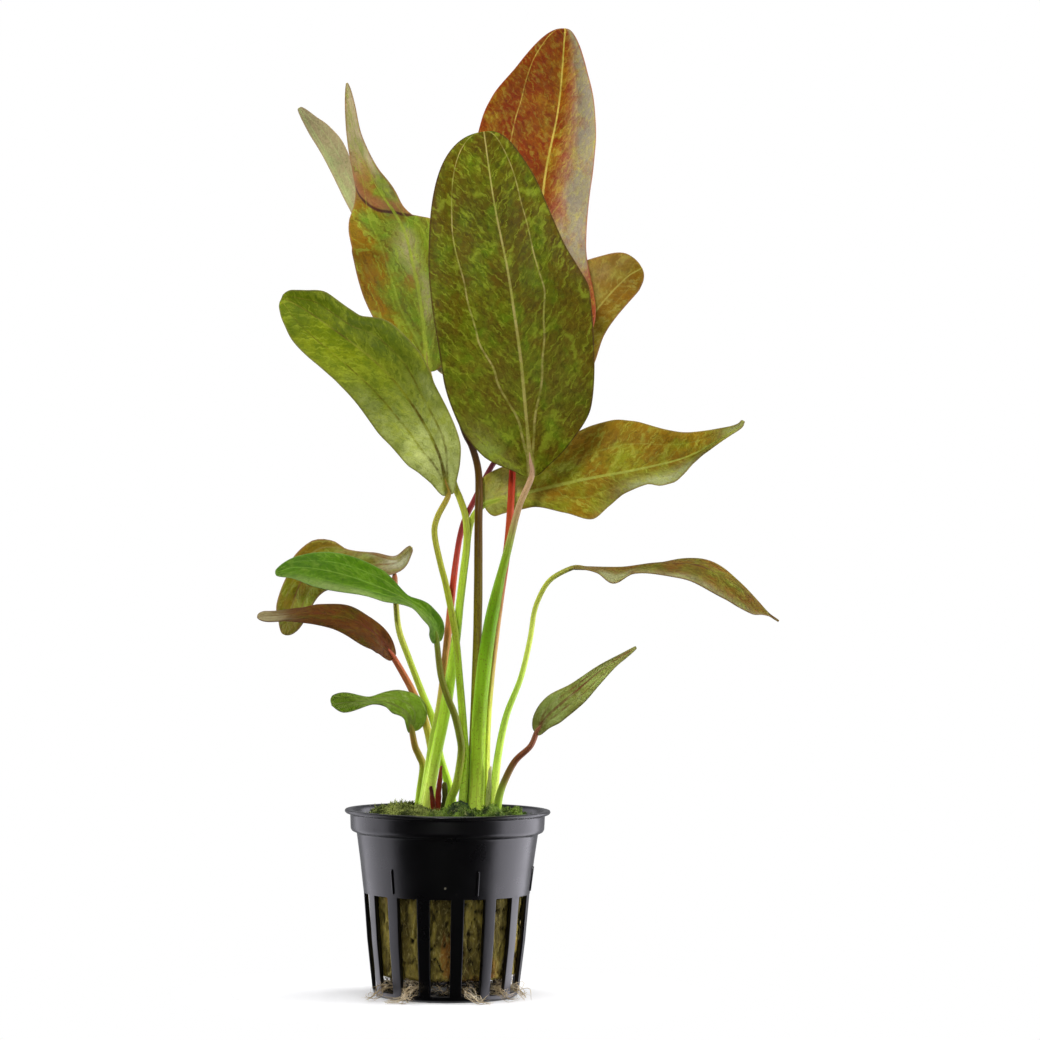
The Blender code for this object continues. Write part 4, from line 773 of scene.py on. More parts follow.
def blade_points(blade, rows, across_places):
    """The middle surface of a blade with its waves, and what each point knows about its place."""
    places = (1 - np.cos(np.linspace(0, np.pi, rows + 1))) / 2
    centres, length = smooth_route(blade["midrib"], places)
    step = 1.5 / length
    behind, _ = smooth_route(blade["midrib"], np.maximum(places - step, 0))
    ahead, _ = smooth_route(blade["midrib"], np.minimum(places + step, 1))
    one, other = half_widths(blade["widths"], places)
    margins = blade["waves"][:3], blade["waves"][3:]
    vein_stops = blade.get("veins", PLAIN_VEINS)
    count = len(across_places)
    points = np.zeros((rows + 1, count, 3))
    looks = np.zeros((rows + 1, count, 3))
    facts = {key: np.zeros((rows + 1, count, 3)) for key in ("flat", "veins", "place")}
    for n, place in enumerate(places):
        along = (ahead[n] - behind[n]) / np.linalg.norm(ahead[n] - behind[n])
        up = np.array(eased_stops(blade["faces"], place))
        up = up - up.dot(along) * along
        up /= np.linalg.norm(up)
        across = np.cross(along, up)
        folds = eased_stops(blade["folds"], place)
        outs = eased_stops(vein_stops, place)
        calm = min(1.0, 6 * place, 6 * (1 - place))
        for k, c in enumerate(across_places):
            side = 0 if c < 0 else 1
            width, fold, out = (one[n], other[n])[side], math.radians(folds[side]), outs[side]
            size = abs(c)
            panel = size * 2 if size <= 0.5 else size * 2 - 1
            t = out * panel if size <= 0.5 else out + (1 - out) * panel
            wave, waves, start = margins[side]
            swell = wave * calm * t ** 2 * math.sin(math.tau * waves * place + start)
            swell += 0.25 * calm * min(1, width / 8) * math.sin(math.pi * panel)
            sign = -1 if c < 0 else 1
            out_way = across * (math.cos(fold) * sign) + up * math.sin(fold)
            turned = up * math.cos(fold) - across * (sign * math.sin(fold))
            look = up + (turned - up) * min(1, t * width / 0.8)
            look /= np.linalg.norm(look)
            soft_fold = up * math.sin(fold) * (t ** 1.25 - t)
            points[n, k] = centres[n] + out_way * (t * width) + soft_fold * width + look * swell
            looks[n, k] = look
            reach = sign * t * width
            facts["flat"][n, k] = (reach, place * length, 0)
            facts["veins"][n, k] = (reach, reach + outs[0] * one[n], reach - outs[1] * other[n])
            facts["place"][n, k] = (place, sign * t, (1 - t) * width)
    return points, looks, facts, length


def blotches(facts, looks):
    """How brown, pale and dark each point of a blade is, from a few listed spots."""
    place, t = facts["place"][..., 0], facts["place"][..., 1]
    zones = np.zeros(facts["place"].shape)
    for at, out, along, wide, kind, strength in looks["spots"]:
        far = ((place - at) / along) ** 2 + ((t - out) / wide) ** 2
        zones[..., kind] = np.maximum(zones[..., kind], strength * np.exp(-far * 1.4))
    return zones


def past_crease(facts, stops, length):
    """Millimetres past the line where a blade is folded over, and how far the part past it stands out."""
    place, t = facts["place"][..., 0], facts["place"][..., 1]
    past = np.full(place.shape, -20.0)
    if stops:
        line = np.interp(t, [stop[1] for stop in stops], [stop[0] for stop in stops])
        past = np.clip((place - line) * length, -20, 20)
    return np.stack([past, 1 / (1 + np.exp(-past / 0.6)), np.zeros(place.shape)], -1)


def ridge(distance, sizes, under, thin):
    """How far a vein raises the blade at a distance from the vein's middle."""
    reach, above, below = sizes
    return (below if under else above) * thin * math.exp(-(distance / reach) ** 2)


def leaf_blade(name, blade, looks, group, seed):
    """A blade: a grid laid along the midrib, given its thickness, with the veins raised on both faces."""
    _, length = smooth_route(blade["midrib"], [0])
    narrow = max(max(stop[1:]) for stop in blade["widths"]) < 6
    rows, across_places = max(60, round(length * 1.5)), columns_across(*((6, 0.2) if narrow else (11, 0.66)))
    count = len(across_places)
    points, ways, facts, _ = blade_points(blade, rows, across_places)
    facts["zones"] = blotches(facts, looks)
    facts["crease"] = past_crease(facts, blade.get("crease"), length)
    points += ways * (CREASE_STEP * facts["crease"][..., 1:2])
    if looks.get("one_sided"):
        facts["veins"][..., 2] = 99
    thick = BLADE_THICKNESS * (0.3 + 0.7 * np.minimum(1, facts["place"][..., 2:] / 1.6))
    shape = bmesh.new()
    bmesh.ops.create_grid(shape, x_segments=count - 1, y_segments=rows, size=1)
    for key in facts:
        shape.verts.layers.float_vector.new(key)
    way_layer = shape.verts.layers.float_vector.new("way")
    layers = {key: shape.verts.layers.float_vector[key] for key in facts}
    for v in shape.verts:
        k, n = round((v.co.x + 1) / 2 * (count - 1)), round((v.co.y + 1) / 2 * rows)
        v.co = (points[n, k] + ways[n, k] * thick[n, k] / 2) * MM
        v[way_layer] = ways[n, k] * thick[n, k]
        for key, layer in layers.items():
            v[layer] = facts[key][n, k]
    made = bmesh.ops.extrude_face_region(shape, geom=list(shape.faces), use_keep_orig=True)["geom"]
    for v in made:
        if isinstance(v, bmesh.types.BMVert):
            v.co -= v[way_layer] * MM
            across, along, _ = v[layers["flat"]]
            v[layers["flat"]] = (across, along, 1.0)
    shape.verts.layers.float_vector.remove(way_layer)
    layers = {key: shape.verts.layers.float_vector[key] for key in facts}
    bmesh.ops.recalc_face_normals(shape, faces=shape.faces)
    shape.normal_update()
    moves = []
    for v in shape.verts:
        middle, first, second = v[layers["veins"]]
        place, _, edge = v[layers["place"]]
        under = v[layers["flat"]][2] > 0.5
        thin = 1 - 0.65 * place
        nearest = min(abs(first), abs(second))
        high = max(ridge(middle, MIDRIB_RIDGE, under, thin), ridge(nearest, SIDE_RIDGE, under, thin))
        moves.append((v, v.normal * (high * min(1, edge / 1.5) * MM)))
    for v, move in moves:
        v.co += move
    material = leaf_material(name, looks, group, seed)
    return keep_piece(name + "_leaf_blade", shape, material, [name + "_blade"])


def rolled_tube(rings, sides):
    """A closed tube of unit radius and length, ring by ring up the Z axis."""
    shape = bmesh.new()
    bmesh.ops.create_cone(shape, cap_ends=True, segments=sides, radius1=1, radius2=1, depth=1)
    upright = [e for e in shape.edges if abs(e.verts[0].co.z - e.verts[1].co.z) > 0.5]
    bmesh.ops.subdivide_edges(shape, edges=upright, cuts=rings - 1, use_grid_fill=True)
    bmesh.ops.translate(shape, verts=shape.verts, vec=(0, 0, 0.5))
    return shape


def tube_frames(route, count):
    """Centres along a route and two directions square to it at each."""
    places = np.linspace(0, 1, count + 1)
    centres, length = smooth_route(route, places)
    along = np.gradient(centres, axis=0)
    along /= np.linalg.norm(along, axis=1)[:, None]
    side = np.array([1.0, 0.0, 0.0]) if abs(along[0][0]) < 0.9 else np.array([0.0, 1.0, 0.0])
    frames = []
    for way in along:
        side = side - side.dot(way) * way
        side /= np.linalg.norm(side)
        frames.append((side, np.cross(way, side)))
    return places, centres, frames, length


def stem_shape(route, radii, rings, sides=20, ribs=0.05, flare=0.0, end=0.35):
    """A stem with shallow ribs, wider where it clasps the rootstock and rounded at its top end."""
    places, centres, frames, length = tube_frames(route, rings)
    widths = np.interp(places, np.linspace(0, 1, len(radii)), radii)
    shape = rolled_tube(rings, sides)
    skin = shape.verts.layers.float_vector.new("skin")
    share = shape.verts.layers.float_vector.new("share")
    for v in shape.verts:
        n = round(v.co.z * rings)
        angle = math.atan2(v.co.y, v.co.x)
        place = places[n]
        rib = 1 + ribs * math.cos(5 * angle + 0.6 * n / rings) + 0.4 * ribs * math.cos(11 * angle)
        foot = flare * math.exp(-place * length / STEM_FLARE_REACH)
        at = Vector((place * length / STEM_WOBBLE_LENGTH, widths[0] * 7, route[0][0]))
        wobble = 1 + 0.05 * noise.noise(at)
        close = 1 - (1 - end) * max(0, (place - 0.97) / 0.03)
        radius = widths[n] * rib * wobble * (1 + foot) * close
        side, other = frames[n]
        way = side * math.cos(angle) + other * math.sin(angle)
        v.co = (centres[n] + way * radius) * MM
        v[skin] = (math.cos(angle), math.sin(angle), place * length)
        v[share] = (place, widths[n], angle)
    return shape


def leaf_stem(name, stem, blade, group, seed):
    """A stem that runs on into the foot of its blade's midrib, but for the blade that hangs over its stem."""
    route, radii = stem
    if name != "low_left_back":
        run_on, _ = smooth_route(blade["midrib"], [0.0, 0.05, 0.1])
        route = route[:-1] + [tuple(p) for p in run_on]
        last = radii[-1]
        radii = list(np.interp(np.linspace(0, 1, 24), np.linspace(0, 0.93, len(radii)), radii))
        radii[-2:] = [last * 0.72, last * 0.4]
    _, length = smooth_route(route, [0])
    shape = stem_shape(route, radii, max(40, round(length / 1.1)), flare=0.12)
    streak = DARK_STREAK_COLOUR if name == "far_left" else STREAK_COLOUR
    material = stem_material(name, STEM_LOOKS[name], group, seed, streak, STREAKS.get(name, PLAIN_STREAKS))
    return keep_piece(name + "_leaf_stem", shape, material, [name + "_stem"])


def make_leaves():
    """Every leaf with its stem, and what is left of old leaves."""
    leaf_group, stem_group = leaf_skin_group(), stem_skin_group()
    for n, name in enumerate(BLADES):
        leaf_blade(name, BLADES[name], LOOKS[name], leaf_group, 3.7 * n)
        leaf_stem(name, STEMS[name], BLADES[name], stem_group, 5.1 * n)
    for n, (name, (route, radii, low, high)) in enumerate(STUBS.items()):
        shape = stem_shape(route, radii, 18, 14, 0.12, end=0.7)
        for v in shape.verts:
            v.co += noise.noise_vector(v.co * 900) * 0.18 * MM
        colours = [low, low, high]
        material = stem_material(name, colours, stem_group, 2.3 * n, STUB_STREAK_COLOUR, STUB_STREAKS)
        keep_piece(name + "_leaf", shape, material, [name])


def degrees_from_front(point):
    """The angle of a point round the pot, counted from the front towards +X."""
    return math.degrees(math.atan2(point.x, -point.y)) % 360


def in_gap(point):
    """Whether an angle lies between two bars."""
    half = BAR_PITCH_DEG / 2
    off = (degrees_from_front(point) - FIRST_BAR_DEG + half) % BAR_PITCH_DEG - half
    return abs(off) > BAR_WIDTH_DEG / 2


def cut_openings(shape):
    """Takes out the slots and the floor holes, and joins the outer and the inner edge of each."""
    gone, groups = [], {}
    for face in shape.faces:
        middle = face.calc_center_median()
        radius, height = math.hypot(middle.x, middle.y) / MM, middle.z / MM
        slot = SLOT_HEIGHTS[0] < height < SLOT_HEIGHTS[1] and radius > SLOTS_FROM_RADIUS
        hole = height < FLOOR_TOP and FLOOR_HOLE_RADII[0] < radius < FLOOR_HOLE_RADII[1]
        if (slot or hole) and in_gap(middle):
            gone.append(face)
    bmesh.ops.delete(shape, geom=gone, context="FACES")
    for edge in [e for e in shape.edges if e.is_boundary]:
        middle = (edge.verts[0].co + edge.verts[1].co) / 2
        radius = math.hypot(middle.x, middle.y) / MM
        floor = middle.z < FLOOR_TOP * MM and radius < FLOOR_HOLE_RADII[1] + 0.1
        turned = (degrees_from_front(middle) - FIRST_BAR_DEG) / BAR_PITCH_DEG - 0.5
        groups.setdefault((floor, round(turned) % BAR_COUNT), []).append(edge)
    for edges in groups.values():
        bmesh.ops.bridge_loops(shape, edges=edges)


def add_nib(shape, degrees):
    """One small stacking rib on the wall."""
    made = bmesh.ops.create_cube(shape, size=MM)["verts"]
    bmesh.ops.scale(shape, verts=made, vec=NIB_SIZE)
    edges = list({e for v in made for e in v.link_edges})
    verts = bmesh.ops.bevel(shape, geom=edges, offset=0.2 * MM, segments=3, profile=0.5, affect="EDGES",
                            material=-1)["verts"]
    outwards, upwards = WALL_HIGH[0] - WALL_LOW[0], WALL_HIGH[1] - WALL_LOW[1]
    wall = WALL_LOW[0] + outwards * (NIB_MIDDLE_HEIGHT - WALL_LOW[1]) / upwards
    lean = Matrix.Rotation(math.atan2(outwards, upwards), 4, "X")
    place = Matrix.Translation((0, -wall * MM, NIB_MIDDLE_HEIGHT * MM))
    turn = Matrix.Rotation(math.radians(degrees), 4, "Z")
    bmesh.ops.transform(shape, verts=verts, matrix=turn @ place @ lean)


def outline_shape(profile):
    """A shape that holds a profile of radii and heights as one line of edges."""
    shape = bmesh.new()
    verts = [shape.verts.new((r * MM, 0, z * MM)) for r, z in profile]
    for pair in zip(verts, verts[1:]):
        shape.edges.new(pair)
    return shape


def spin_outline(shape, steps):
    """Turns the line that a shape holds into a closed body round the Z axis."""
    bmesh.ops.spin(shape, geom=list(shape.verts) + list(shape.edges), cent=(0, 0, 0), axis=(0, 0, 1),
                   angle=math.tau, steps=steps, use_merge=True)
    bmesh.ops.remove_doubles(shape, verts=shape.verts, dist=0.00001)


def make_pot():
    """The net pot: a spun wall with its slots, floor holes and stacking ribs."""
    shape = outline_shape(POT_PROFILE)
    turn = Matrix.Rotation(-math.pi / 2, 3, "Z")
    bmesh.ops.rotate(shape, verts=shape.verts, cent=(0, 0, 0), matrix=turn)
    spin_outline(shape, POT_STEPS)
    bmesh.ops.recalc_face_normals(shape, faces=shape.faces)
    cut_openings(shape)
    bmesh.ops.recalc_face_normals(shape, faces=shape.faces)
    for degrees in NIB_ANGLES_DEG:
        add_nib(shape, degrees)
    pot = keep_piece("net_pot", shape, pot_material(), ["pot"])
    rounding = pot.modifiers.new("edges", "BEVEL")
    rounding.width, rounding.segments = EDGE_ROUNDING * MM, 2
    rounding.limit_method, rounding.angle_limit = "ANGLE", math.radians(35)


def pot_material():
    """Satin black plastic with faint marks from handling, dried water and a few grains of dirt."""
    material, tree, shader = new_material("pot_plastic_satin")
    place = object_places(tree)
    dull = place.cloud(120.0, 4.0, 0.6)
    fine = (place * (1.0, 1.0, 0.25)).cloud(900.0, 3.0, 0.6)
    stain = place.cloud(210.0, 5.0, 0.7).fade(0.6, 0.78)
    dirt = add_node(tree, "TexVoronoi", {"Vector": place, "Scale": 330.0})
    picked = Value(dirt.outputs["Color"]).parts()[0].fade(0.955, 0.975)
    grains = Value(dirt.outputs["Distance"]).fade(0.06, 0.13, 1.0, 0.0) * picked
    colour = mixed(stain * 0.3, (0.0009, 0.0006, 0.001, 1), (0.012, 0.011, 0.012, 1))
    colour = mixed(grains, colour, (0.3, 0.27, 0.2, 1))
    roughness = dull.fade(0.25, 0.75, 0.26, 0.34) + stain * 0.2
    finish_skin(shader, colour, roughness, dull * 0.8 + fine * 0.2 + grains * 1.2, 0.00012, 0.35, 0.5)
    return material


def fibre_material(name, low, middle, high, scale, rough=0.8):
    """Fibrous stuff whose colour shifts from clump to clump and along its strands."""
    material, tree, shader = new_material(name)
    place = object_places(tree)
    fine = place.cloud(scale * 7, 3.0, 0.65)
    share = place.cloud(scale, 4.0, 0.6) * 0.65 + fine * 0.35
    colour = colour_ramp(tree, share, ((0.36, low), (0.5, middle), (0.66, high)))
    finish_skin(shader, colour, fine.fade(0.2, 0.8, rough - 0.12, rough + 0.1), fine, 0.0003, 0.8, 0.3)
    return material


def strand_points(route, radii, rings, sides):
    """The points of one thin strand, ring by ring, in the order that the base strand has."""
    places, centres, frames, _ = tube_frames(route, rings)
    widths = np.interp(places, np.linspace(0, 1, len(radii)), radii)
    angles = np.arange(sides) * math.tau / sides
    points = []
    for centre, (side, other), width in zip(centres, frames, widths):
        points.append(centre + (np.outer(np.cos(angles), side) + np.outer(np.sin(angles), other)) * width)
    return np.concatenate(points)


def strand_faces(rings, sides):
    """The faces of one base strand, as numbers of its points ring by ring."""
    shape = rolled_tube(rings, sides)
    numbers = {}
    for v in shape.verts:
        turn = round(math.atan2(v.co.y, v.co.x) / math.tau * sides) % sides
        numbers[v.index] = round(v.co.z * rings) * sides + turn
    faces = [[numbers[v.index] for v in f.verts] for f in shape.faces]
    shape.free()
    return faces


def joined_strands(name, strands, rings, sides, material, nodes=()):
    """One mesh of many thin strands: a list of (route, radii) in millimetres."""
    faces, points, every = strand_faces(rings, sides), [], []
    size = (rings + 1) * sides
    for n, (route, radii) in enumerate(strands):
        points.append(strand_points(route, radii, rings, sides))
        every += [[k + n * size for k in face] for face in faces]
    mesh = bpy.data.meshes.new(name)
    points = np.concatenate(points)
    points[:, 2] = np.maximum(points[:, 2], 0.02)
    mesh.from_pydata((points * MM).tolist(), [], every)
    return keep_piece(name, mesh, material, nodes)


def wall_radius(profile, height):
    """The radius of a wall at a height, from its profile."""
    return float(np.interp(height, [z for _, z in profile], [r for r, _ in profile]))


def on_wall(radius, angle, height):
    """A point at an angle counted from the front, in radians."""
    return np.array([radius * math.sin(angle), -radius * math.cos(angle), height])


def wool_depth(angle, height):
    """How far the uneven surface lies in from the wall, with cracks that run up and down."""
    at = Vector((math.sin(angle) * 6, -math.cos(angle) * 6, height * 0.16))
    crack = max(0.0, 1 - abs(noise.noise(at * 1.3)) / 0.09)
    return 0.9 * abs(noise.noise(at)) + 0.7 * abs(noise.noise(at * 3.1)) + 1.3 * crack


def wool_surface(angle, height):
    """The radius of the uneven surface, which stays inside the pot's wall."""
    outside = [(r, z) for r, z in WOOL_PROFILE if r > WOOL_SIDE_RADIUS]
    wall = wall_radius(INNER_WALL[::-1], height) - 0.15
    return min(wall_radius(outside, height) + 0.9, wall) - wool_depth(angle, height)


def wool_material():
    """Olive mineral fibre drawn out upwards, with rusty bits, and painted shade that darkens its cracks and
    the places set deeper in.
    """
    material, tree, shader = new_material("mineral_fibre")
    place = object_places(tree)
    upwards = place * (1.0, 1.0, 0.3)
    clumps = upwards.cloud(260.0, 4.0, 0.65)
    fine = (place * (1.0, 1.0, 0.45)).cloud(1500.0, 3.0, 0.65)
    rust = upwards.cloud(170.0, 3.0, 0.6).fade(0.56, 0.68)
    depth = carried(tree, "depth").parts()[0]
    colour = mixed(clumps.fade(0.36, 0.62), screen((76, 66, 22)), screen((140, 126, 54)))
    colour = mixed(rust * 0.6, colour, screen((134, 76, 24)))
    colour = mixed(fine.fade(0.52, 0.72, 0.0, 0.5), colour, screen((190, 176, 112)))
    # Painted shade: the deeper a point lies in from the wall, the nearer to black it is painted.
    colour = mixed(depth.fade(0.4, 1.5, 0.0, 0.85), colour, screen((26, 20, 6)))
    finish_skin(shader, colour, fine.fade(0.2, 0.8, 0.7, 0.92), fine, 0.0004, 0.9, 0.2)
    return material


def make_rock_wool():
    """The plug of mineral fibre: an uneven body with loose fibres over it."""
    shape = outline_shape(WOOL_PROFILE)
    layer = shape.verts.layers.float_vector.new("depth")
    bmesh.ops.subdivide_edges(shape, edges=list(shape.edges)[3:7], cuts=11)
    spin_outline(shape, WOOL_STEPS)
    for v in shape.verts:
        radius, height = Vector((v.co.x, v.co.y, 0)).length / MM, v.co.z / MM
        if radius > WOOL_SIDE_RADIUS:
            angle = math.atan2(v.co.x, -v.co.y)
            # How deep each point lies in, which the material paints as shade.
            v[layer] = (wool_depth(angle, height), 0, 0)
            v.co = Vector(on_wall(wool_surface(angle, height), angle, height) * MM)
        elif radius > 0.1:
            v.co.z += noise.noise(v.co * 500) * 0.4 * MM
    bmesh.ops.recalc_face_normals(shape, faces=shape.faces)
    keep_piece("rock_wool_plug", shape, wool_material(), ["rock_wool"])
    strands = []
    for _ in range(WOOL_FIBRES):
        angle, height = chance.uniform(0, math.tau), chance.uniform(5.8, 30)
        slope, reach = chance.gauss(1.45, 0.5), chance.uniform(2.0, 6)
        route = []
        for k in range(5):
            s = (k / 4 - 0.5) * reach
            here, up = angle + s * math.cos(slope) / 20 + chance.gauss(0, 0.012), height + s * math.sin(slope)
            up = min(max(up, 5.5), 31)
            lift = chance.uniform(-0.2, 0.12)
            route.append(on_wall(wool_surface(here, up) + lift, here, up))
        strands.append((route, [0.02, 0.05, 0.05, 0.02]))
    material = fibre_material("loose_fibre", (84, 70, 24), (126, 112, 50), (176, 160, 96), 150.0, 0.7)
    joined_strands("rock_wool_fibres", strands, 6, 4, material)


def moss_height(x, y):
    """The height of the moss with its rises and hollows."""
    height = MOSS_TOP
    for rise_x, rise_y, high, reach in MOSS_RISES:
        height += high * math.exp(-((x - rise_x) ** 2 + (y - rise_y) ** 2) / (0.5 * reach * reach))
    return height


def moss_surface(x, y):
    """The moss surface, rounded off at the wall and lower over the rootstock."""
    away = math.hypot(x, y) / MOSS_RADIUS
    height = moss_height(x, y)
    edge = math.sqrt(max(0.0, 1 - max(0.0, (away - 0.86) / 0.14) ** 2))
    height = MOSS_FOOT + (height - MOSS_FOOT) * (0.45 + 0.55 * edge)
    over = ((x - CROWN_CENTRE[0]) / CROWN_RADII[0]) ** 2 + ((y - CROWN_CENTRE[1]) / CROWN_RADII[1]) ** 2
    inside = max(0.0, 1 - over)
    height += min(0, CROWN_TOP + 0.6 - height) * min(1, inside * 3)
    at = Vector((x, y, 0))
    return height + 0.8 * noise.noise(at * 0.5) + 0.5 * noise.noise(at * 1.4)


def moss_sprigs(count, where, length, seed):
    """Short bent filaments that stand on the moss: a list of routes and radii."""
    luck = random.Random(seed)
    strands = []
    for _ in range(count):
        x, y, z = where(luck)
        clump = 0.62 + 0.75 * noise.noise(Vector((x, y, seed)) * 0.45)
        turn, lean = luck.uniform(0, math.tau), luck.uniform(0.1, 1.3)
        tall = luck.uniform(0.5, 1.1) * max(0.25, clump) * length
        way = np.array([math.cos(turn) * lean, math.sin(turn) * lean, 1.0])
        way /= np.linalg.norm(way)
        bend = np.array([luck.gauss(0, 0.35), luck.gauss(0, 0.35), luck.gauss(-0.1, 0.2)])
        foot = np.array([x, y, z - 0.3])
        route = [foot, foot + way * tall * 0.5, foot + way * tall + bend * tall * 0.6]
        strands.append((route, [luck.uniform(0.07, 0.12), luck.uniform(0.09, 0.17), 0.03]))
    return strands


def anywhere_on_moss(luck):
    """A point of the moss surface, as likely in one spot as in another."""
    away, turn = math.sqrt(luck.random()) * (MOSS_RADIUS - 0.3), luck.uniform(0, math.tau)
    x, y = away * math.cos(turn), away * math.sin(turn)
    return x, y, moss_surface(x, y)


def on_tuft(luck):
    """A point of the tuft's upper half."""
    turn, lift = luck.uniform(0, math.tau), luck.random()
    wide = math.sqrt(1 - lift ** 2)
    x = TUFT_CENTRE[0] + TUFT_SIZE[0] * wide * math.cos(turn)
    y = TUFT_CENTRE[1] + TUFT_SIZE[1] * wide * math.sin(turn)
    return x, y, TUFT_CENTRE[2] + (TUFT_SIZE[2] - 0.6) * lift


def moss_material(name, light):
    """Moss in clumps: olive and yellowish on the left, darker green elsewhere. A light below 1 paints the
    whole copy darker, as shade.
    """
    material, tree, shader = new_material(name)
    place = object_places(tree)
    clumps, fine = place.cloud(240.0, 3.0, 0.6), place.cloud(1500.0, 2.0, 0.6)
    olive = (place.parts()[0] + place.cloud(150.0) * 0.02).fade(0.002, 0.01, 1.0, 0.0)
    low = mixed(olive, screen((26, 42, 8)), screen((50, 60, 14)))
    high = mixed(olive, screen((98, 124, 36)), screen((138, 148, 70)))
    colour = mixed(clumps.fade(0.38, 0.64), low, high)
    colour = mixed(fine.fade(0.58, 0.72, 0.0, 0.6), colour, screen((172, 174, 108)))
    finish_skin(shader, tinted(colour, light), fine.fade(0.2, 0.8, 0.65, 0.9), fine, 0.0003, 0.8, 0.2)
    return material


def make_moss():
    """The moss bed, which takes the place of the rootstock, and the darker tuft in front, each with its own
    filaments.
    """
    shape = bmesh.new()
    bmesh.ops.create_circle(shape, cap_ends=True, cap_tris=True, segments=96, radius=MOSS_RADIUS * MM)
    bmesh.ops.subdivide_edges(shape, edges=shape.edges, cuts=1, use_grid_fill=True)
    bmesh.ops.subdivide_edges(shape, edges=shape.edges, cuts=11, use_grid_fill=True)
    for v in shape.verts:
        v.co.z = moss_surface(v.co.x / MM, v.co.y / MM) * MM
    skirt = [e for e in shape.edges if e.is_boundary]
    made = bmesh.ops.extrude_edge_only(shape, edges=skirt)["geom"]
    for v in made:
        if isinstance(v, bmesh.types.BMVert):
            v.co.z = MOSS_FOOT * MM
    bmesh.ops.contextual_create(shape, geom=[e for e in shape.edges if e.is_boundary])
    bmesh.ops.recalc_face_normals(shape, faces=shape.faces)
    # The ground between the filaments is the same moss painted darker: painted shade.
    ground = moss_material("moss_ground", 0.75)
    keep_piece("moss_ground_cover", shape, ground, ["moss_bed", "crown"])
    leafy = moss_material("moss_leafy", 1.0)
    sprigs = moss_sprigs(MOSS_SPRIGS, anywhere_on_moss, 1.9, 11)
    joined_strands("moss_filaments", sprigs, 3, 4, leafy)

    shape = bmesh.new()
    bmesh.ops.create_icosphere(shape, subdivisions=4, radius=1)
    for v in shape.verts:
        lump = 1 + 0.16 * noise.noise(v.co * 3.1)
        v.co = Vector([TUFT_CENTRE[k] + v.co[k] * (TUFT_SIZE[k] - 0.3) * lump for k in range(3)]) * MM
        v.co.z = max(v.co.z, (TUFT_CENTRE[2] - 1.5) * MM)
    dark = fibre_material("moss_dark_ground", (14, 26, 8), (28, 46, 14), (58, 76, 28), 260.0, 0.85)
    keep_piece("moss_tuft_body", shape, dark, ["moss_tuft"])
    dark = fibre_material("moss_dark_leafy", (20, 38, 10), (40, 66, 18), (84, 110, 40), 240.0, 0.7)
    sprigs = moss_sprigs(TUFT_SPRIGS, on_tuft, 1.3, 12)
    joined_strands("moss_tuft_filaments", sprigs, 3, 4, dark)


def make_roots():
    """The six main roots, each with the fine ones that lie along it, and loose ones in the pot's foot."""
    material = fibre_material("root_skin", (120, 100, 70), (186, 166, 130), (226, 214, 190), 260.0, 0.6)
    for number, (name, route) in enumerate(ROOTS.items()):
        luck = random.Random(50 + number)
        strands = [(route, [0.16, ROOT_RADIUS, 0.2, 0.17, 0.08])]
        for _ in range(FINE_ROOTS):
            spare = []
            for x, y, z in route[luck.choice([0, 1, 2]):]:
                strays = luck.gauss(0, 1.1), luck.gauss(0, 0.7), luck.gauss(0.3, 0.9)
                spare.append((x * 0.97 + strays[0], y * 0.97 + strays[1], max(0.12, z + strays[2])))
            radius = luck.uniform(0.03, 0.075)
            strands.append((spare, [radius, radius * 1.2, radius, radius * 0.4]))
        joined_strands(name + "_fibres", strands, 16, 6, material, [name])
    joined_strands("loose_root_fibres", foot_strands(LOOSE_ROOTS, 90, 0.1), 12, 5, material)
    dark = fibre_material("old_root_skin", (16, 14, 8), (46, 40, 24), (92, 82, 52), 260.0, 0.7)
    joined_strands("dark_root_fibres", foot_strands(LOOSE_ROOTS, 91, 0.17), 12, 5, dark)


def foot_strands(count, seed, thickest):
    """Loose strands that lie in the foot of the pot, under the fibre plug."""
    luck = random.Random(seed)
    strands = []
    for _ in range(count):
        start, turn = luck.uniform(0, math.tau), luck.uniform(-0.5, 0.5)
        radius, height, rise = luck.uniform(13, 18.1), luck.uniform(1.4, 5.4), luck.uniform(-1.5, 1.5)
        route = []
        for k in range(5):
            out, up = radius + luck.gauss(0, 0.5), height + rise * (k - 2) / 2 + luck.gauss(0, 0.6)
            route.append(on_wall(min(18.2, out), start + turn * k / 4, min(5.9, max(1.3, up))))
        thick = luck.uniform(0.03, thickest)
        strands.append((route, [thick * 0.6, thick, thick, thick * 0.5]))
    return strands


def make_floor():
    """A pale floor that fades into the pale surroundings."""
    shape = bmesh.new()
    bmesh.ops.create_grid(shape, x_segments=1, y_segments=1, size=3)
    floor = put_in_scene("floor", mesh_of("floor", shape))
    material, tree, shader = new_material("pale_floor")
    finish = {"Base Color": (0.86, 0.86, 0.87, 1), "Roughness": 0.7, "Specular IOR Level": 0.1}
    for label, value in finish.items():
        shader.inputs[label].default_value = value
    away = add_node(tree, "VectorMath", {0: object_places(tree)}, operation="LENGTH").outputs["Value"]
    mirrored = add_node(tree, "LightPath").outputs["Is Glossy Ray"]
    gone = Value(away).fade(0.024, 0.075).math("MAXIMUM", mirrored)
    show_mix(tree, gone, shader, add_node(tree, "BsdfTransparent"))
    floor.data.materials.append(material)


def hang_lamp(name, light, place, aim):
    """Puts a light at one place and turns it towards another, both in metres."""
    lamp = put_in_scene(name, light)
    lamp.location = place
    lamp.rotation_euler = (Vector(aim) - Vector(place)).to_track_quat("-Z", "Y").to_euler()
    return lamp


def add_light(name, place, size, power, colour=(1.0, 1.0, 1.0)):
    """A soft box turned towards the middle of the plant."""
    light = bpy.data.lights.new(name, "AREA")
    light.shape, light.color, light.energy = "RECTANGLE", colour, power
    light.size, light.size_y = size
    return hang_lamp(name, light, place, (0, 0, 0.13))


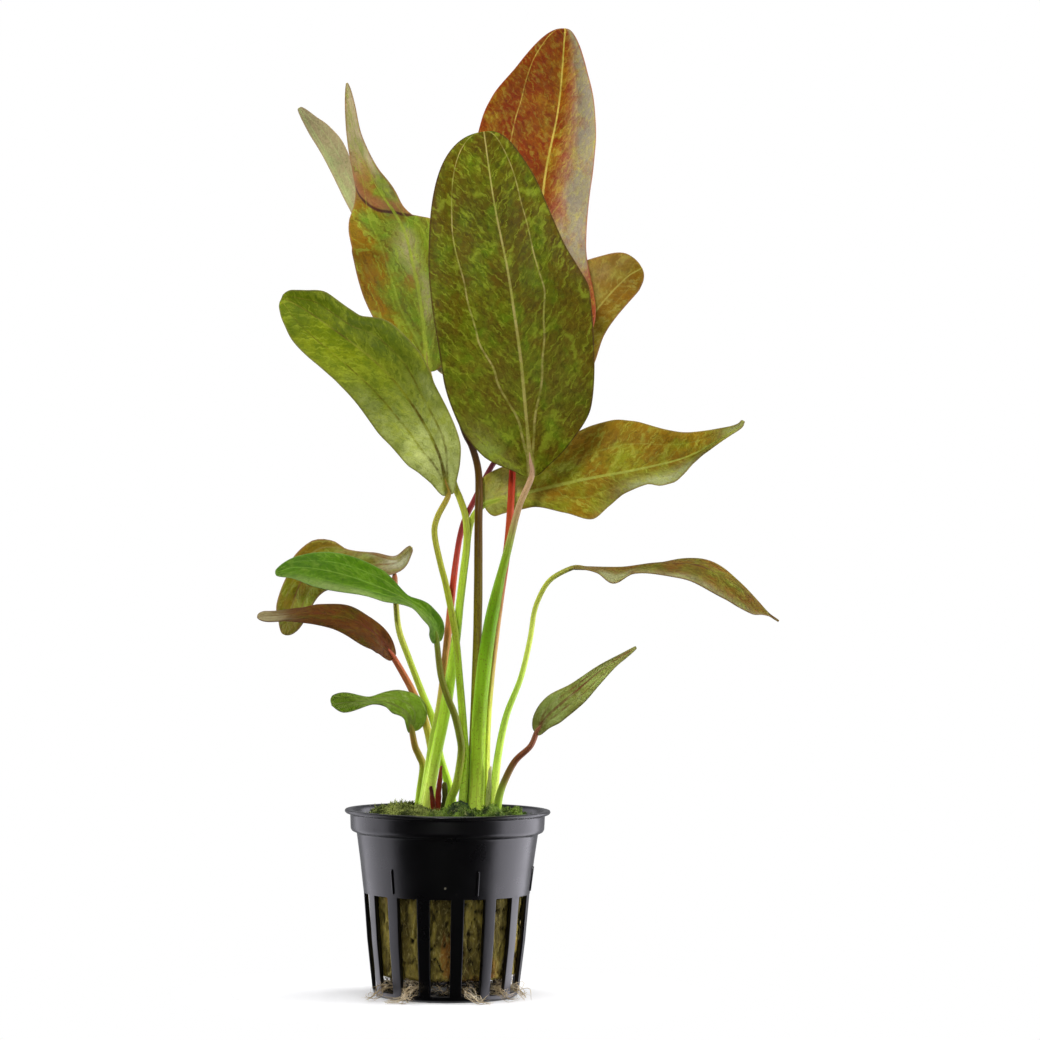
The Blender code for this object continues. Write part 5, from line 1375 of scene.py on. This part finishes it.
def add_leaf_light():
    """A soft spot from the front that lights the leaves and leaves the pot out."""
    light = bpy.data.lights.new("leaf_light", "SPOT")
    light.energy, light.shadow_soft_size = 60, 0.06
    light.spot_size, light.spot_blend = math.radians(13), 0.6
    hang_lamp("leaf_light", light, (-0.1, -1.3, 0.35), (0.015, 0, 0.195))


def make_studio():
    """Soft boxes at the sides, two more that only gleam on the pot, a top light and a weak front fill."""
    for side, power, gleam, back in ((-1, 14, 8, 0.26), (1, 24, 16, 0.18)):
        label = "left" if side < 0 else "right"
        add_light(label + "_box", (0.95 * side, 0.27, 0.3), (0.9, 1.0), power).visible_glossy = False
        shine = add_light(label + "_gleam", (0.85 * side, back, -0.05), (1.2, 1.3), gleam, (0.92, 0.9, 1.0))
        shine.visible_diffuse = shine.visible_transmission = False
    add_light("top_box", (0, -0.2, 1.15), (0.9, 0.9), 14)
    add_light("front_fill", (-0.3, -1.3, 1.2), (0.8, 0.6), 2.5)
    add_leaf_light()
    world = bpy.data.worlds.new("studio")
    bpy.context.scene.world = world
    world.use_nodes = True
    tree = world.node_tree
    back = tree.nodes["Background"]
    back.inputs["Color"].default_value = (0.94, 0.95, 1.0, 1)
    depth = Value(add_node(tree, "TexCoord").outputs["Generated"]).parts()[1]
    link_to(back.inputs, {"Strength": depth.fade(-0.4, 0.7, 0.03, 0.4)})
    white = add_node(tree, "Background", {"Color": (1.0, 1.0, 1.0, 1), "Strength": 1.0})
    seen = add_node(tree, "LightPath").outputs["Is Camera Ray"]
    show_mix(tree, seen, back, white, "World Output")
    bpy.context.scene.view_settings.view_transform = "Standard"


def make_camera():
    """The photograph's view, level and almost square to the front."""
    lens = bpy.data.cameras.new("camera")
    lens.lens, lens.sensor_width = CAMERA_LENS, CAMERA_SENSOR
    lens.clip_start, lens.clip_end = 0.05, 20
    camera = put_in_scene("camera", lens)
    turn = Matrix.Rotation(math.pi / 2, 4, "X") @ Matrix.Rotation(math.radians(CAMERA_ROLL_DEG), 4, "Z")
    camera.matrix_world = Matrix.Translation(CAMERA_PLACE) @ turn
    bpy.context.scene.camera = camera


make_camera()
make_studio()
make_floor()
make_leaves()
make_pot()
make_rock_wool()
make_moss()
make_roots()
